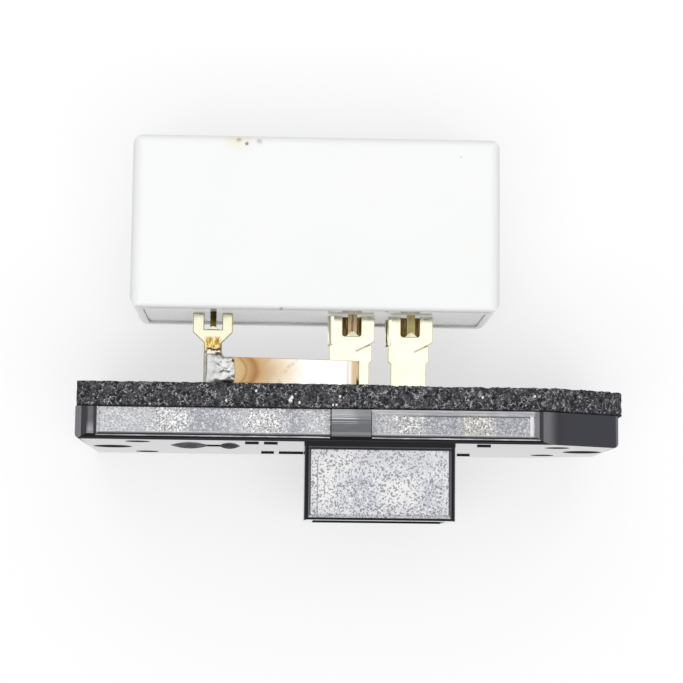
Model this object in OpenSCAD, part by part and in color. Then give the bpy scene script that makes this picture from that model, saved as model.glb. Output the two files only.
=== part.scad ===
// Blower motor resistor: a ceramic resistor block standing on fork terminals above a
// moulded plate with a foam gasket, a soldered fuse spring and a plug socket below.
// X runs along the two screw holes, Y goes back, Z goes up toward the ceramic block.
// The origin is midway between the screw holes, on the plate's sealing face. Millimetres.

/* [Plate] */
// Distance between the two screw holes
hole_pitch = 85; // [84:0.5:102]
// Plate beyond the left screw hole's middle
end_left = 5.15; // [4.2:0.05:8]
// Plate beyond the right screw hole's middle
end_right = 4.85; // [4.2:0.05:8]
// Depth of the plate
plate_w = 37; // [33:0.5:46]
// Thickness of the plate
plate_t = 5.65; // [5:0.05:7.5]
// Diameter of the screw holes
hole_d = 6.4; // [4.2:0.1:6.6]
// Length of the cut corners at the right end
cut_len = 13.2; // [6:0.2:14]
// Depth of the cut corners at the right end
cut_w = 6.8; // [3:0.1:9]
// Depth of the recessed panels in the long edges
panel_in = 0.9; // [0.3:0.1:1.6]
// Width of the plain rib between the two long panels
panel_rib = 6.8; // [3:0.1:12]
// Height of the raised seats and ribs inside the gasket's window
seat_h = 1.2; // [0.8:0.1:1.6]

/* [Gasket] */
// Thickness of the foam gasket
foam_t = 4.4; // [2.4:0.1:5.2]
// How far the foam stays back from the plate's front and back edges
foam_in = 0.4; // [0:0.1:1.2]
// How far the foam hangs over the plate's right end
foam_over = 0.65; // [0:0.05:1.2]

/* [Socket] */
// Width of the plug socket
socket_w = 26.8; // [26:0.1:30]
// Depth of the plug socket, front to back
socket_d = 16.1; // [15.4:0.1:19]
// Height of the socket below the plate
socket_h = 13.1; // [11:0.1:18]
// Wall of the socket
socket_wall = 2.1; // [1.8:0.05:2.4]
// Middle of the socket, to the right of the middle of the screw holes
socket_x = 5.46; // [4.6:0.02:6.4]

/* [Ceramic block] */
// Width of the ceramic block
block_w = 65.9; // [62:0.1:72]
// Depth of the ceramic block, front to back
block_d = 24.2; // [22:0.1:28]
// Height of the ceramic block
block_h = 31.45; // [26:0.05:38]
// Height of the block's underside above the plate
block_z = 18.25; // [17.6:0.05:22]
// Middle of the block, to the right of the middle of the screw holes
block_x = -6.45; // [-8:0.05:-5]
// Middle of the block, behind the line of the screw holes
block_y = 1.05; // [0.4:0.05:2]
// Wall of the ceramic case
case_wall = 2.3; // [1.8:0.1:2.8]
// Corner radius of the ceramic case
case_r = 2.2; // [1.2:0.1:3]

/* [Terminals] */
// Thickness of the terminal sheet
sheet_t = 0.8; // [0.7:0.02:0.86]
// Width of the plug blades
blade_w = 6.3; // [5.6:0.1:6.6]
// Distance between the blades of the front row
blade_pitch = 10.26; // [9.8:0.02:11]
// Distance of each row of blades from the line of the screw holes
row_y = 3.06; // [2.8:0.02:3.3]
// Width of the two folded forks
fork_w = 8.16; // [7.8:0.02:8.6]
// Width of the slot between the prongs
slot_w = 3.44; // [2.8:0.02:3.8]
// Thickness of the flattened lead ends
lead_flat = 0.66; // [0.5:0.02:0.8]
// Diameter of the lead wires
lead_d = 1.1; // [0.9:0.05:1.3]

/* [Fuse] */
// Middle of the fuse terminal, to the left of the middle of the screw holes
fuse_x = 24.66; // [23.6:0.02:26]
// Height of the fuse spring strip
spring_h = 5; // [3.6:0.1:5.4]
// Thickness of the fuse spring strip
spring_t = 0.4; // [0.25:0.05:0.5]
// Height of the spring's upper edge above the plate
spring_z = 9.9; // [9.4:0.05:10.2]

/* [Resistor inside] */
// Radius of the wound core
core_r = 5.5; // [4:0.1:6]
// Diameter of the resistance wire
wire_d = 0.8; // [0.5:0.05:1]
// Distance from turn to turn
wire_pitch = 1.3; // [1.1:0.05:1.8]

/* [Hidden] */
$fn = 48;

// Working clearance between pieces that sit in one another
fit = 0.05;
// Clearance round the wound core, where the pieces are large and round
core_fit = 0.12;
// Length by which a cut runs past the face that it opens
past = 1;

// Plate
plate_y = plate_w / 2;
hole_r = hole_d / 2;
hole_x = hole_pitch / 2;
plate_x0 = -hole_x - end_left;
plate_x1 = hole_x + end_right;
panel_low = -plate_t + 0.95;
panel_high = 0.9;
panel_end = 1.75;
panel_slope = 0.45;
rib_slope = 0.2;
rib_mid = -0.12;

// Socket
sock_x0 = socket_x - socket_w / 2;
sock_x1 = socket_x + socket_w / 2;
sock_y = socket_d / 2;
sock_z = -plate_t - socket_h;
sock_roof = -plate_t + 1.05;
blade_tip = sock_z + 3;

// Gasket window round the terminals and the socket, and the locating rib inside it
window_x0 = -fuse_x - 9.14;
window_x1 = sock_x1 + 0.94;
window_y = sock_y + 3.35;
rib_gap = 0.2;
rib_t = 1;

// Block
block_x0 = block_x - block_w / 2;
block_x1 = block_x + block_w / 2;
block_y0 = block_y - block_d / 2;
block_y1 = block_y + block_d / 2;
block_top = block_z + block_h;
cement_in = 0.3;

// Terminals. Fork heights hang from the block's underside.
mid_x = socket_x - blade_pitch / 2;
right_x = socket_x + blade_pitch / 2;
front_y = -row_y - sheet_t / 2;
fork_top = block_z - 0.05;
fork_floor = block_z - 3.74;
flap_z = block_z - 5.35;
fold_in = lead_flat / 2;
fold_out = fold_in + sheet_t;
body_hw = blade_w / 2 + 0.5;
fork_off_right = 0.3;
slot_r = 0.5;

// Fuse terminal, spring and pin
fuse_y = front_y - 1.7;
flag_y = front_y - 2.04;
flag_x0 = mid_x - blade_w / 2 + 0.2;
flag_x1 = mid_x + 0.7;
web_x = socket_x - sheet_t / 2;
web_z1 = 4.6;
leg_ends = [[-fuse_x - 3.75, 2], [-fuse_x + 3.3, 1.6]];
stake_h = 0.55;
spring_x0 = -fuse_x + 2.75;

// Wound core
core_y = block_y;
core_z = block_z + block_h * 0.52;
band_r = core_r + core_fit + 0.55;
wind_r = core_r + core_fit + 0.3;
band_w = 3.6;
band_gap = 0.1;
core_x0 = -fuse_x - 5;
core_x1 = right_x + fork_off_right + 5;
lead_xs = [-fuse_x, mid_x + 0.15, right_x + fork_off_right + 0.2];
lead_ys = [fuse_y + sheet_t + lead_flat / 2, front_y + sheet_t + fold_in, front_y + sheet_t + fold_in];
lead_zs = [block_z - 6.1, flap_z + 0.15, flap_z + 0.15];
flat_ws = [1.1, 1.65, 1.5];
nugget_ws = [1.1, 1.2, 1.1];
nugget_hs = [0.55, 0.85, 0.8];
nugget_ys = [fuse_y, front_y, front_y];
floor_zs = [fork_floor + 0.67, fork_floor, fork_floor];

// Colours
black_plastic = [0.09, 0.09, 0.1];
charcoal = [0.2, 0.2, 0.21];
white_ceramic = [0.93, 0.93, 0.91];
grey_cement = [0.72, 0.72, 0.7];
core_white = [0.85, 0.84, 0.8];
wire_grey = [0.5, 0.48, 0.45];
steel_grey = [0.66, 0.66, 0.67];
lead_brown = [0.42, 0.34, 0.28];
brass = [0.8, 0.66, 0.42];
copper = [0.78, 0.55, 0.38];
tin = [0.7, 0.7, 0.69];

// Corner of a convex outline, rounded: two tangent points and the centre of the arc
function unit(v) = v / norm(v);
function half_angle(p, v, n) = acos(unit(p - v) * unit(n - v)) / 2;
function tangent(v, to, r, h) = v + unit(to - v) * (r / tan(h));
function arc_centre(p, v, n, r) =
  v + unit(unit(p - v) + unit(n - v)) * (r / sin(half_angle(p, v, n)));
function rounded_points(pts, radii) = [
  for (i = [0:len(pts) - 1])
    let (
      n = len(pts), p = pts[(i + n - 1) % n], v = pts[i], q = pts[(i + 1) % n],
      h = half_angle(p, v, q)
    )
    each [tangent(v, p, radii[i], h), tangent(v, q, radii[i], h)]
];

// Convex outline with a true arc at each corner
module rounded_outline(pts, radii) {
  n = len(pts);
  polygon(rounded_points(pts, radii));
  for (i = [0:n - 1])
    translate(arc_centre(pts[(i + n - 1) % n], pts[i], pts[(i + 1) % n], radii[i]))
      circle(radii[i]);
}

// Rectangle from its edges with one radius at the lower and one at the upper corners
module rounded_rect(x0, x1, y0, y1, r_low, r_high) {
  rounded_outline(
    [[x0, y0], [x1, y0], [x1, y1], [x0, y1]],
    [r_low, r_low, r_high, r_high]
  );
}

// Extrusions along Y (profile in X and Z) and along X (profile in Y and Z)
module along_y(y0, y1) {
  translate([0, y1, 0]) rotate([90, 0, 0]) linear_extrude(y1 - y0) children();
}
module along_x(x0, x1) {
  translate([x0, 0, 0]) rotate([90, 0, 90]) linear_extrude(x1 - x0) children();
}
module along_z(z0, z1) {
  translate([0, 0, z0]) linear_extrude(z1 - z0) children();
}
module box(x0, x1, y0, y1, z0, z1) {
  translate([x0, y0, z0]) cube([x1 - x0, y1 - y0, z1 - z0]);
}

// Pocket with sloped walls in a face that looks to the front, at the depth y. The walls run
// inward by slope_x (left, right) at the ends and by slope_z (lower, upper) below and above.
module sloped_pocket(x0, x1, z0, z1, y, deep, slope_x, slope_z) {
  intersection() {
    along_z(z0, z1) polygon([
      [x0, y - past], [x1, y - past], [x1, y],
      [x1 - slope_x[1], y + deep], [x0 + slope_x[0], y + deep], [x0, y]
    ]);
    along_x(x0, x1) polygon([
      [y - past, z0], [y, z0], [y + deep, z0 + slope_z[0]],
      [y + deep, z1 - slope_z[1]], [y, z1], [y - past, z1]
    ]);
  }
}

// Plan outline of the plate or of the gasket on it
module plate_outline(left, right, side, r) {
  rounded_outline(
    [
      [left, -side], [right - cut_len, -side], [right, -side + cut_w],
      [right, side - cut_w], [right - cut_len, side], [left, side]
    ],
    [r, 4.2, 1.5, 1.5, 4.2, r]
  );
}

// Plate body with its lower edges broken and its lower ends rounded
module plate_blank() {
  intersection() {
    along_z(-plate_t, 0) plate_outline(plate_x0, plate_x1, plate_y, 1.15);
    along_y(-plate_y - past, plate_y + past)
      rounded_rect(plate_x0, plate_x1, -plate_t, plate_t, 1.1, 1.1);
    along_x(plate_x0 - past, plate_x1 + past)
      rounded_rect(-plate_y, plate_y, -plate_t, plate_t, 0.45, 0.45);
  }
}

// Recessed panels of one long edge, with the plain rib between the two long ones. The two on the
// left are open above. The right one rises to the plate's upper face in a slope.
module edge_panels() {
  x_end = plate_x1 - cut_len - panel_end;
  open_z = [panel_low, panel_high];
  edge_pocket(plate_x0 + 2.1, plate_x0 + 3.3, open_z, panel_in * 0.5, [0.15, 0.15], 0);
  edge_pocket(plate_x0 + 3.8, rib_mid - panel_rib / 2, open_z, panel_in, [panel_slope, rib_slope], 0);
  edge_pocket(rib_mid + panel_rib / 2, x_end, [panel_low, 0.02], panel_in, [rib_slope, 0.72], 0.8);
}
module edge_pocket(x0, x1, z, deep, slope_x, slope_up) {
  sloped_pocket(x0, x1, z[0], z[1], -plate_y, deep, slope_x, [panel_slope, slope_up]);
}

// Low rib that keeps the gasket in its place
module locating_rib() {
  along_z(-0.01, seat_h) difference() {
    rounded_rect(window_x0 + rib_gap, window_x1 - rib_gap,
      -window_y + rib_gap, window_y - rib_gap, 1.8, 1.8);
    rounded_rect(window_x0 + rib_gap + rib_t, window_x1 - rib_gap - rib_t,
      -window_y + rib_gap + rib_t, window_y - rib_gap - rib_t, 1, 1);
  }
}

// Raised seats that carry the terminals, and the two stiffening ribs between them
module terminal_seats() {
  along_z(-0.01, seat_h) {
    rounded_rect(-fuse_x - 6, -fuse_x + 5.4, fuse_y - 2.6, fuse_y + 3.4, 1.2, 1.2);
    rounded_rect(sock_x0 + 1.6, sock_x1 - 1.6, -sock_y + 0.4, sock_y - 1.6, 1.2, 1.2);
  }
  for (y = [fuse_y - 1, fuse_y + 2])
    box(-fuse_x + 5, sock_x0 + 2, y - 0.5, y + 0.5, -0.01, seat_h * 0.6);
}

// Plug socket, drawn solid
module socket_body() {
  along_z(sock_z, -plate_t + 0.2)
    rounded_rect(sock_x0, sock_x1, -sock_y, sock_y, 1.1, 1.1);
}

// Nose on the socket's back wall that the plug's latch snaps over
module latch_nose() {
  along_x(socket_x - 3.6, socket_x + 3.6) polygon([
    [sock_y - 0.2, sock_z + 3.2], [sock_y, sock_z + 3.2], [sock_y + 1.3, sock_z + 5.6],
    [sock_y + 1.3, sock_z + 6.4], [sock_y, sock_z + 6.6], [sock_y - 0.2, sock_z + 6.6]
  ]);
  for (s = [-1, 1])
    box(socket_x + s * 5.4 - 0.5, socket_x + s * 5.4 + 0.5,
      sock_y - 0.2, sock_y + 0.8, sock_z + 2.4, -plate_t + 0.1);
}

// Hollow of the socket with its lead-in slope and the framed panel outside
module socket_hollow() {
  x0 = sock_x0 + socket_wall;
  x1 = sock_x1 - socket_wall;
  y1 = sock_y - socket_wall + 0.1;
  along_z(sock_z - past, sock_roof) rounded_rect(x0, x1, -y1, y1, 0.8, 0.8);
  intersection() {
    along_y(-y1 - 0.5, y1 + 0.5) polygon([
      [x0 - 0.5, sock_z - past], [x1 + 0.5, sock_z - past], [x1 + 0.5, sock_z],
      [x1, sock_z + 0.8], [x0, sock_z + 0.8], [x0 - 0.5, sock_z]
    ]);
    along_x(x0 - 0.5, x1 + 0.5) polygon([
      [-y1 - 0.5, sock_z - past], [y1 + 0.5, sock_z - past], [y1 + 0.5, sock_z],
      [y1, sock_z + 0.8], [-y1, sock_z + 0.8], [-y1 - 0.5, sock_z]
    ]);
  }
  sloped_pocket(sock_x0 + 0.62, sock_x1 - 0.66, sock_z + 0.3, -plate_t - 0.5, -sock_y, 0.55,
    [0.55, 0.55], [0.8, 0.12]);
}

// Two ribs inside the socket that admit only the right plug
module key_ribs() {
  for (x = [socket_x - 1.1, socket_x + 1.1])
    box(x - 0.45, x + 0.45, sock_y - socket_wall - 1, sock_y - socket_wall + 0.2,
      blade_tip + 0.2, sock_roof + 0.2);
}

// Screw hole with its edges broken above and below
module screw_hole() {
  translate([0, 0, -plate_t - past]) cylinder(h = plate_t + 2 * past, r = hole_r);
  translate([0, 0, -plate_t - 0.01]) cylinder(h = 0.36, r1 = hole_r + 0.35, r2 = hole_r);
  translate([0, 0, -0.35]) cylinder(h = 0.36, r1 = hole_r, r2 = hole_r + 0.35);
}

// Low dome of melted plastic over a terminal's foot, set into the underside
module stake(x, y, r) {
  ball = (r * r + stake_h * stake_h) / (2 * stake_h);
  intersection() {
    translate([x, y, -plate_t + ball - stake_h]) sphere(ball);
    box(x - r - 1, x + r + 1, y - r - 1, y + r + 1, -plate_t - past, -plate_t + 0.3);
  }
}

// Openings in the plate that the blades and the fuse terminal's feet pass through
module blade_slots() {
  hw = blade_w / 2 + fit;
  for (x = [mid_x, right_x])
    box(x - hw, x + hw, front_y - fit, front_y + sheet_t + fit, sock_roof - past, seat_h + past);
  box(socket_x - hw, socket_x + hw, row_y - sheet_t / 2 - fit, row_y + sheet_t / 2 + fit,
    sock_roof - past, seat_h + past);
  for (leg = leg_ends)
    box(leg[0] - leg[1] / 2 - fit, leg[0] + leg[1] / 2 + fit, fuse_y - fit,
      fuse_y + sheet_t + fit, -plate_t - 0.2, seat_h + past);
}

// Small raised pad and round ejector mark on the underside
module underside_pad(x, y, w) {
  box(x - w / 2, x + w / 2, y - 0.5, y + 0.5, -plate_t - 0.25, -plate_t + 0.1);
}
module ejector_mark(x, y) {
  translate([x, y, -plate_t - past]) cylinder(h = past + 0.2, r = 2.2);
}

module base_plate() {
  color(black_plastic) {
    difference() {
      union() {
        plate_blank();
        locating_rib();
        terminal_seats();
        socket_body();
        latch_nose();
        stake(leg_ends[0][0], fuse_y + sheet_t / 2, 3.45);
        stake(leg_ends[1][0], fuse_y + sheet_t / 2, 1.95);
        box(leg_ends[0][0], leg_ends[1][0], fuse_y + sheet_t / 2 - 0.5, fuse_y + sheet_t / 2 + 0.5,
          -plate_t - 0.14, -plate_t + 0.1);
        for (x = [sock_x0 - 9.3, sock_x0 - 6, sock_x1 + 4.5]) underside_pad(x, -sock_y - 4.55, 2.4);
        for (x = [sock_x0 - 6.7, sock_x1 + 3.2]) underside_pad(x, sock_y + 4.55, 2.4);
        underside_pad(sock_x0 - 2.3, sock_y + 4.6, 4.6);
      }
      edge_panels();
      mirror([0, 1, 0]) edge_panels();
      for (s = [-1, 1]) translate([s * hole_x, 0, 0]) screw_hole();
      for (s = [-1, 1]) {
        ejector_mark(-hole_x + 5.4, s * (plate_y - 5.2));
        ejector_mark(hole_x - 5.9, s * (plate_y - 8.3));
      }
      socket_hollow();
      blade_slots();
    }
    key_ribs();
  }
}

module foam_gasket() {
  color(charcoal) along_z(0, foam_t) difference() {
    plate_outline(plate_x0 + 0.15, plate_x1 + foam_over, plate_y - foam_in, 1);
    rounded_rect(window_x0, window_x1, -window_y, window_y, 2, 2);
    for (s = [-1, 1]) translate([s * hole_x, 0]) circle(hole_r + 0.2);
  }
}

// Ceramic case: three rounded outlines crossed, hollowed from below
module ceramic_case() {
  color(white_ceramic) difference() {
    intersection() {
      along_z(block_z, block_top)
        rounded_rect(block_x0, block_x1, block_y0, block_y1, case_r, case_r);
      along_y(block_y0 - past, block_y1 + past)
        rounded_rect(block_x0, block_x1, block_z, block_top, case_r, case_r);
      along_x(block_x0 - past, block_x1 + past)
        rounded_rect(block_y0, block_y1, block_z, block_top, case_r * 0.4, case_r * 0.8);
    }
    along_z(block_z - past, block_top - case_wall) case_hollow(0);
  }
}
module case_hollow(less) {
  w = case_wall + less;
  rounded_rect(block_x0 + w, block_x1 - w, block_y0 + w, block_y1 - w, 1.4, 1.4);
}

module cement_fill() {
  color(grey_cement) difference() {
    along_z(block_z + cement_in, block_top - case_wall - fit) case_hollow(fit);
    on_core() cylinder(h = core_x1 - core_x0 + 2 * fit, r = core_r + core_fit);
    translate([-fuse_x - core_x0 - band_w / 2 - fit, 0, 0]) on_core()
      cylinder(h = lead_xs[2] + fuse_x + band_w + 4 * fit, r = wind_r + wire_d / 2 + core_fit);
    for (i = [0:2]) {
      box(lead_xs[i] - flat_ws[i] / 2 - fit, lead_xs[i] + flat_ws[i] / 2 + fit,
        lead_ys[i] - lead_flat / 2 - fit, lead_ys[i] + lead_flat / 2 + fit,
        block_z - past, block_z + 2.05);
      translate([lead_xs[i], lead_ys[i], block_z]) cylinder(h = core_z - block_z, r = lead_d / 2 + fit);
    }
  }
}

// Puts a piece drawn along Z onto the core's axis, from the core's left end to the right
module on_core() {
  translate([core_x0 - fit, core_y, core_z]) rotate([0, 90, 0]) children();
}

module core_rod() {
  color(core_white) translate([core_x0, core_y, core_z]) rotate([0, 90, 0])
    cylinder(h = core_x1 - core_x0, r = core_r);
}

// Winding from x0 to x1: turns of round wire standing on a thin common skin
module winding(x0, x1) {
  turns = floor((x1 - x0 - wire_d) / wire_pitch) + 1;
  start = (x1 - x0 - (turns - 1) * wire_pitch) / 2;
  translate([x0, core_y, core_z]) rotate([0, 90, 0]) rotate_extrude() {
    translate([core_r + core_fit, 0]) square([wind_r - core_r - core_fit, x1 - x0]);
    for (i = [0:turns - 1])
      translate([wind_r, start + i * wire_pitch]) circle(wire_d / 2);
  }
}
module long_winding() {
  color(wire_grey)
    winding(lead_xs[0] + band_w / 2 + band_gap, lead_xs[1] - band_w / 2 - band_gap);
}
module short_winding() {
  color(wire_grey)
    winding(lead_xs[1] + band_w / 2 + band_gap, lead_xs[2] - band_w / 2 - band_gap);
}

// Contact band round the core at one lead
module band(i) {
  color(steel_grey) translate([lead_xs[i] - band_w / 2, core_y, core_z]) rotate([0, 90, 0])
    difference() {
      cylinder(h = band_w, r = band_r);
      translate([0, 0, -past]) cylinder(h = band_w + 2 * past, r = core_r + core_fit);
    }
}
module left_band() { band(0); }
module middle_band() { band(1); }
module right_band() { band(2); }

// Lead wire: round up to its band, flattened where a weld nugget holds it to the slot's floor
module lead(i) {
  drop = band_r * band_r - pow(lead_ys[i] - core_y, 2);
  top = core_z - sqrt(max(drop, 0)) + 0.6;
  nw = nugget_ws[i];
  nh = nugget_hs[i];
  color(lead_brown) difference() {
    union() {
      box(lead_xs[i] - flat_ws[i] / 2, lead_xs[i] + flat_ws[i] / 2,
        lead_ys[i] - lead_flat / 2, lead_ys[i] + lead_flat / 2, lead_zs[i], block_z + 2);
      translate([lead_xs[i], lead_ys[i], block_z + 1]) cylinder(h = top - block_z - 1, r = lead_d / 2);
      along_y(nugget_ys[i] + 0.08, lead_ys[i]) translate([lead_xs[i], floor_zs[i] + fit]) polygon([
        [-nw, 0], [nw, 0], [nw * 0.8, nh * 0.2], [nw * 0.48, nh * 0.72], [nw * 0.2, nh],
        [-nw * 0.2, nh], [-nw * 0.48, nh * 0.72], [-nw * 0.8, nh * 0.2]
      ]);
    }
    translate([lead_xs[i] - 5, core_y, core_z]) rotate([0, 90, 0])
      cylinder(h = 10, r = band_r + fit);
  }
}
module left_lead() { lead(0); }
module middle_lead() { lead(1); }
module right_lead() { lead(2); }

// Fuse terminal: one flat fork on a shank, standing on two feet staked into the plate
module fuse_terminal() {
  z_arm = block_z - 3.52;
  z_neck = block_z - 5.4;
  z_flare = block_z - 6.9;
  neck = 1.63;
  flare = 3.05;
  color(brass) along_y(fuse_y, fuse_y + sheet_t) translate([-fuse_x, 0]) difference() {
    union() {
      polygon([
        [-3.6, fork_top], [-3.6, z_arm], [-neck + 0.05, z_neck], [-neck + 0.05, seat_h],
        [flare, seat_h], [flare, z_flare - 1.35], [neck, z_flare], [neck, z_neck],
        [3.5, z_arm], [3.5, fork_top]
      ]);
      translate([-4.75, seat_h]) square([9, 2]);
      for (leg = leg_ends)
        translate([leg[0] + fuse_x - leg[1] / 2, -plate_t - 0.15])
          square([leg[1], seat_h + plate_t + 0.2]);
    }
    translate([-slot_w / 2 + 0.12, fork_floor + 0.67]) square([slot_w - 0.18, 5]);
    translate([neck + 1.4, z_flare]) circle(1.4);
  }
}

// Solder lump: thin where it wets the shank, full round the end of the spring
module solder_joint() {
  x0 = -fuse_x - 0.95;
  x1 = -fuse_x + 4.15;
  z0 = spring_z - 4.4;
  z1 = spring_z + 0.9;
  y0 = fuse_y - 1.75;
  color(tin) difference() {
    intersection() {
      along_y(y0, fuse_y) rounded_outline(
        [
          [x0, z0], [x1 - 1.3, z0], [x1 - 0.3, z0 + 1], [x1, z0 + 2.4],
          [x1 - 1, z1 - 1.3], [x1 - 2.7, z1], [x0, z1]
        ],
        [0.5, 0.8, 0.8, 1, 0.8, 0.7, 0.4]
      );
      along_z(z0, z1) rounded_outline(
        [
          [x0, fuse_y + 1], [x0, fuse_y - 0.5], [x1 - 2.9, y0],
          [x1 - 0.5, y0], [x1, y0 + 0.8], [x1, fuse_y + 1]
        ],
        [0.2, 0.4, 0.9, 0.5, 0.4, 0.2]
      );
      along_x(x0, x1) rounded_outline(
        [[y0, z0], [fuse_y + 1, z0], [fuse_y + 1, z1], [y0, z1]], [1.3, 0.2, 0.2, 1.5]
      );
    }
    spring_solid(fit / 2);
  }
}

// Fuse spring: flat strip with a step near its fixed end, turned back round the pin's flag
module spring_plan(more) {
  x0 = spring_x0;
  y = flag_y - spring_t - 0.3;
  xs = flag_x1 - 1.1;
  r = spring_t + 0.15;
  polygon([
    [x0 - more, y - more], [xs - 0.7, y - more], [xs, y + 0.3 - more],
    [flag_x1 + 0.1, y + 0.3 - more], [flag_x1 + 0.1, y + 0.3 + spring_t + more],
    [xs - 0.1, y + 0.3 + spring_t + more], [xs - 0.8, y + spring_t + more],
    [x0 - more, y + spring_t + more]
  ]);
  translate([flag_x1 + 0.1, flag_y + 0.15]) difference() {
    circle(r);
    circle(0.15);
    translate([-3, -3]) square([3, 6]);
    translate([-1, 0]) square([3, 3]);
  }
  translate([flag_x1 + 0.25, flag_y + 0.15]) square([spring_t, 0.45]);
}
module spring_solid(more) {
  intersection() {
    along_z(spring_z - spring_h - more, spring_z + 0.35 + more) spring_plan(more);
    along_y(flag_y - 3, flag_y + 3) polygon([
      [-fuse_x - 1, spring_z + 0.35 + more], [flag_x1 + 1, spring_z - 0.1 + more],
      [flag_x1 + 1, spring_z - spring_h - more], [-fuse_x - 1, spring_z - spring_h - more]
    ]);
  }
}
module fuse_spring() { color(copper) spring_solid(0); }

// Blade of the plug with chamfered tip, profile in X and Z round its own middle
module blade_face(top) {
  hw = blade_w / 2;
  polygon([
    [-hw, top], [-hw, blade_tip + 1.4], [-hw + 0.9, blade_tip],
    [hw - 0.9, blade_tip], [hw, blade_tip + 1.4], [hw, top]
  ]);
}
// The same blade thinned to its tip, profile in Y and Z round its own middle
module blade_edge(top) {
  polygon([
    [-sheet_t / 2, top], [-sheet_t / 2, blade_tip + 1.4], [-0.15, blade_tip],
    [0.15, blade_tip], [sheet_t / 2, blade_tip + 1.4], [sheet_t / 2, top]
  ]);
}

// Fuse pin: rear blade, a web forward between the other two, and a flag behind the spring
module fuse_pin() {
  z_flag = spring_z - 0.35;
  y_web = row_y - sheet_t / 2;
  r = sheet_t + 0.3;
  color(brass) {
    intersection() {
      translate([socket_x, 0, 0]) along_y(y_web, y_web + sheet_t) blade_face(seat_h);
      translate([0, row_y, 0]) along_x(socket_x - blade_w, socket_x + blade_w) blade_edge(seat_h);
    }
    box(socket_x - blade_w / 2, web_x + sheet_t - r, y_web, y_web + sheet_t, seat_h - 0.01, web_z1);
    along_z(seat_h, web_z1) {
      translate([web_x + sheet_t - r, y_web + sheet_t - r]) quarter_ring(r, 0);
      translate([web_x, flag_y + r]) square([sheet_t, y_web + sheet_t - 2 * r - flag_y]);
      translate([web_x + sheet_t - r, flag_y + r]) quarter_ring(r, -90);
      translate([flag_x0, flag_y]) square([web_x + sheet_t - r - flag_x0, sheet_t]);
    }
    box(flag_x0, flag_x1, flag_y, flag_y + sheet_t, web_z1 - 0.01, z_flag);
  }
}
// Quarter of a bent sheet round the origin, turned by a
module quarter_ring(r, a) {
  rotate(a) intersection() {
    difference() {
      circle(r);
      circle(r - sheet_t);
    }
    square(r + 1);
  }
}

// Folded fork terminal: slotted front sheet running down into its blade, and a rear flap.
// left is the body's edge, bow how far the fold stands out, and low how far its top lies down.
module fork_terminal(x, off, left, bow, low) {
  hw = fork_w / 2;
  arm = block_z - 4.62;
  cut = arm - 0.53;
  slit = cut - 1.2;
  shoulder = block_z - 8.15;
  fold_x = off - hw + fold_out - bow;
  flap_y = front_y + sheet_t + lead_flat;
  color(brass) translate([x, 0, 0]) {
    intersection() {
      along_y(front_y, front_y + sheet_t) difference() {
        union() {
          blade_face(shoulder);
          polygon([
            [-blade_w / 2, shoulder - 0.5], [-left, shoulder], [-left, flap_z], [fold_x, flap_z],
            [fold_x, fork_top], [off + hw, fork_top], [off + hw, arm], [off + hw - 0.9, cut],
            [body_hw, cut], [body_hw, shoulder], [blade_w / 2, shoulder - 0.5]
          ]);
          translate([off - hw + 0.2, fork_top - low]) square([1.5, low]);
        }
        rounded_rect(off - slot_w / 2, off + slot_w / 2, fork_floor, fork_floor + 5, slot_r, slot_r);
        polygon([
          [off + hw + 0.2, arm + 0.06], [off + hw - 0.9, cut], [off + 0.75, slit],
          [off + 0.81, slit - 0.13], [off + hw - 0.84, cut - 0.13], [off + hw + 0.2, cut - 0.15]
        ]);
      }
      translate([0, front_y + sheet_t / 2, 0]) along_x(-2 * hw, 2 * hw) blade_edge(fork_top);
    }
    along_z(flap_z, fork_top - low) translate([fold_x, front_y + fold_out]) difference() {
      circle(fold_out);
      circle(fold_in);
      translate([0, -3]) square([3, 6]);
    }
    along_y(flap_y, flap_y + sheet_t) polygon([
      [fold_x, flap_z], [off + hw - 1.1, flap_z], [off + hw, arm + 0.3], [off + hw, fork_top],
      [fold_x, fork_top]
    ]);
  }
}
module middle_terminal() { fork_terminal(mid_x, 0, body_hw + 0.36, 0.25, 0.02); }
module right_terminal() { fork_terminal(right_x, fork_off_right, body_hw, 0.41, 0.5); }

base_plate();
foam_gasket();
ceramic_case();
cement_fill();
core_rod();
long_winding();
short_winding();
left_band();
middle_band();
right_band();
left_lead();
middle_lead();
right_lead();
fuse_terminal();
solder_joint();
fuse_spring();
fuse_pin();
middle_terminal();
right_terminal();
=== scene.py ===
"""Blower motor resistor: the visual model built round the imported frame. Metres, row frame."""
import math

import bpy
from mathutils import Matrix, Vector, noise


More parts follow.
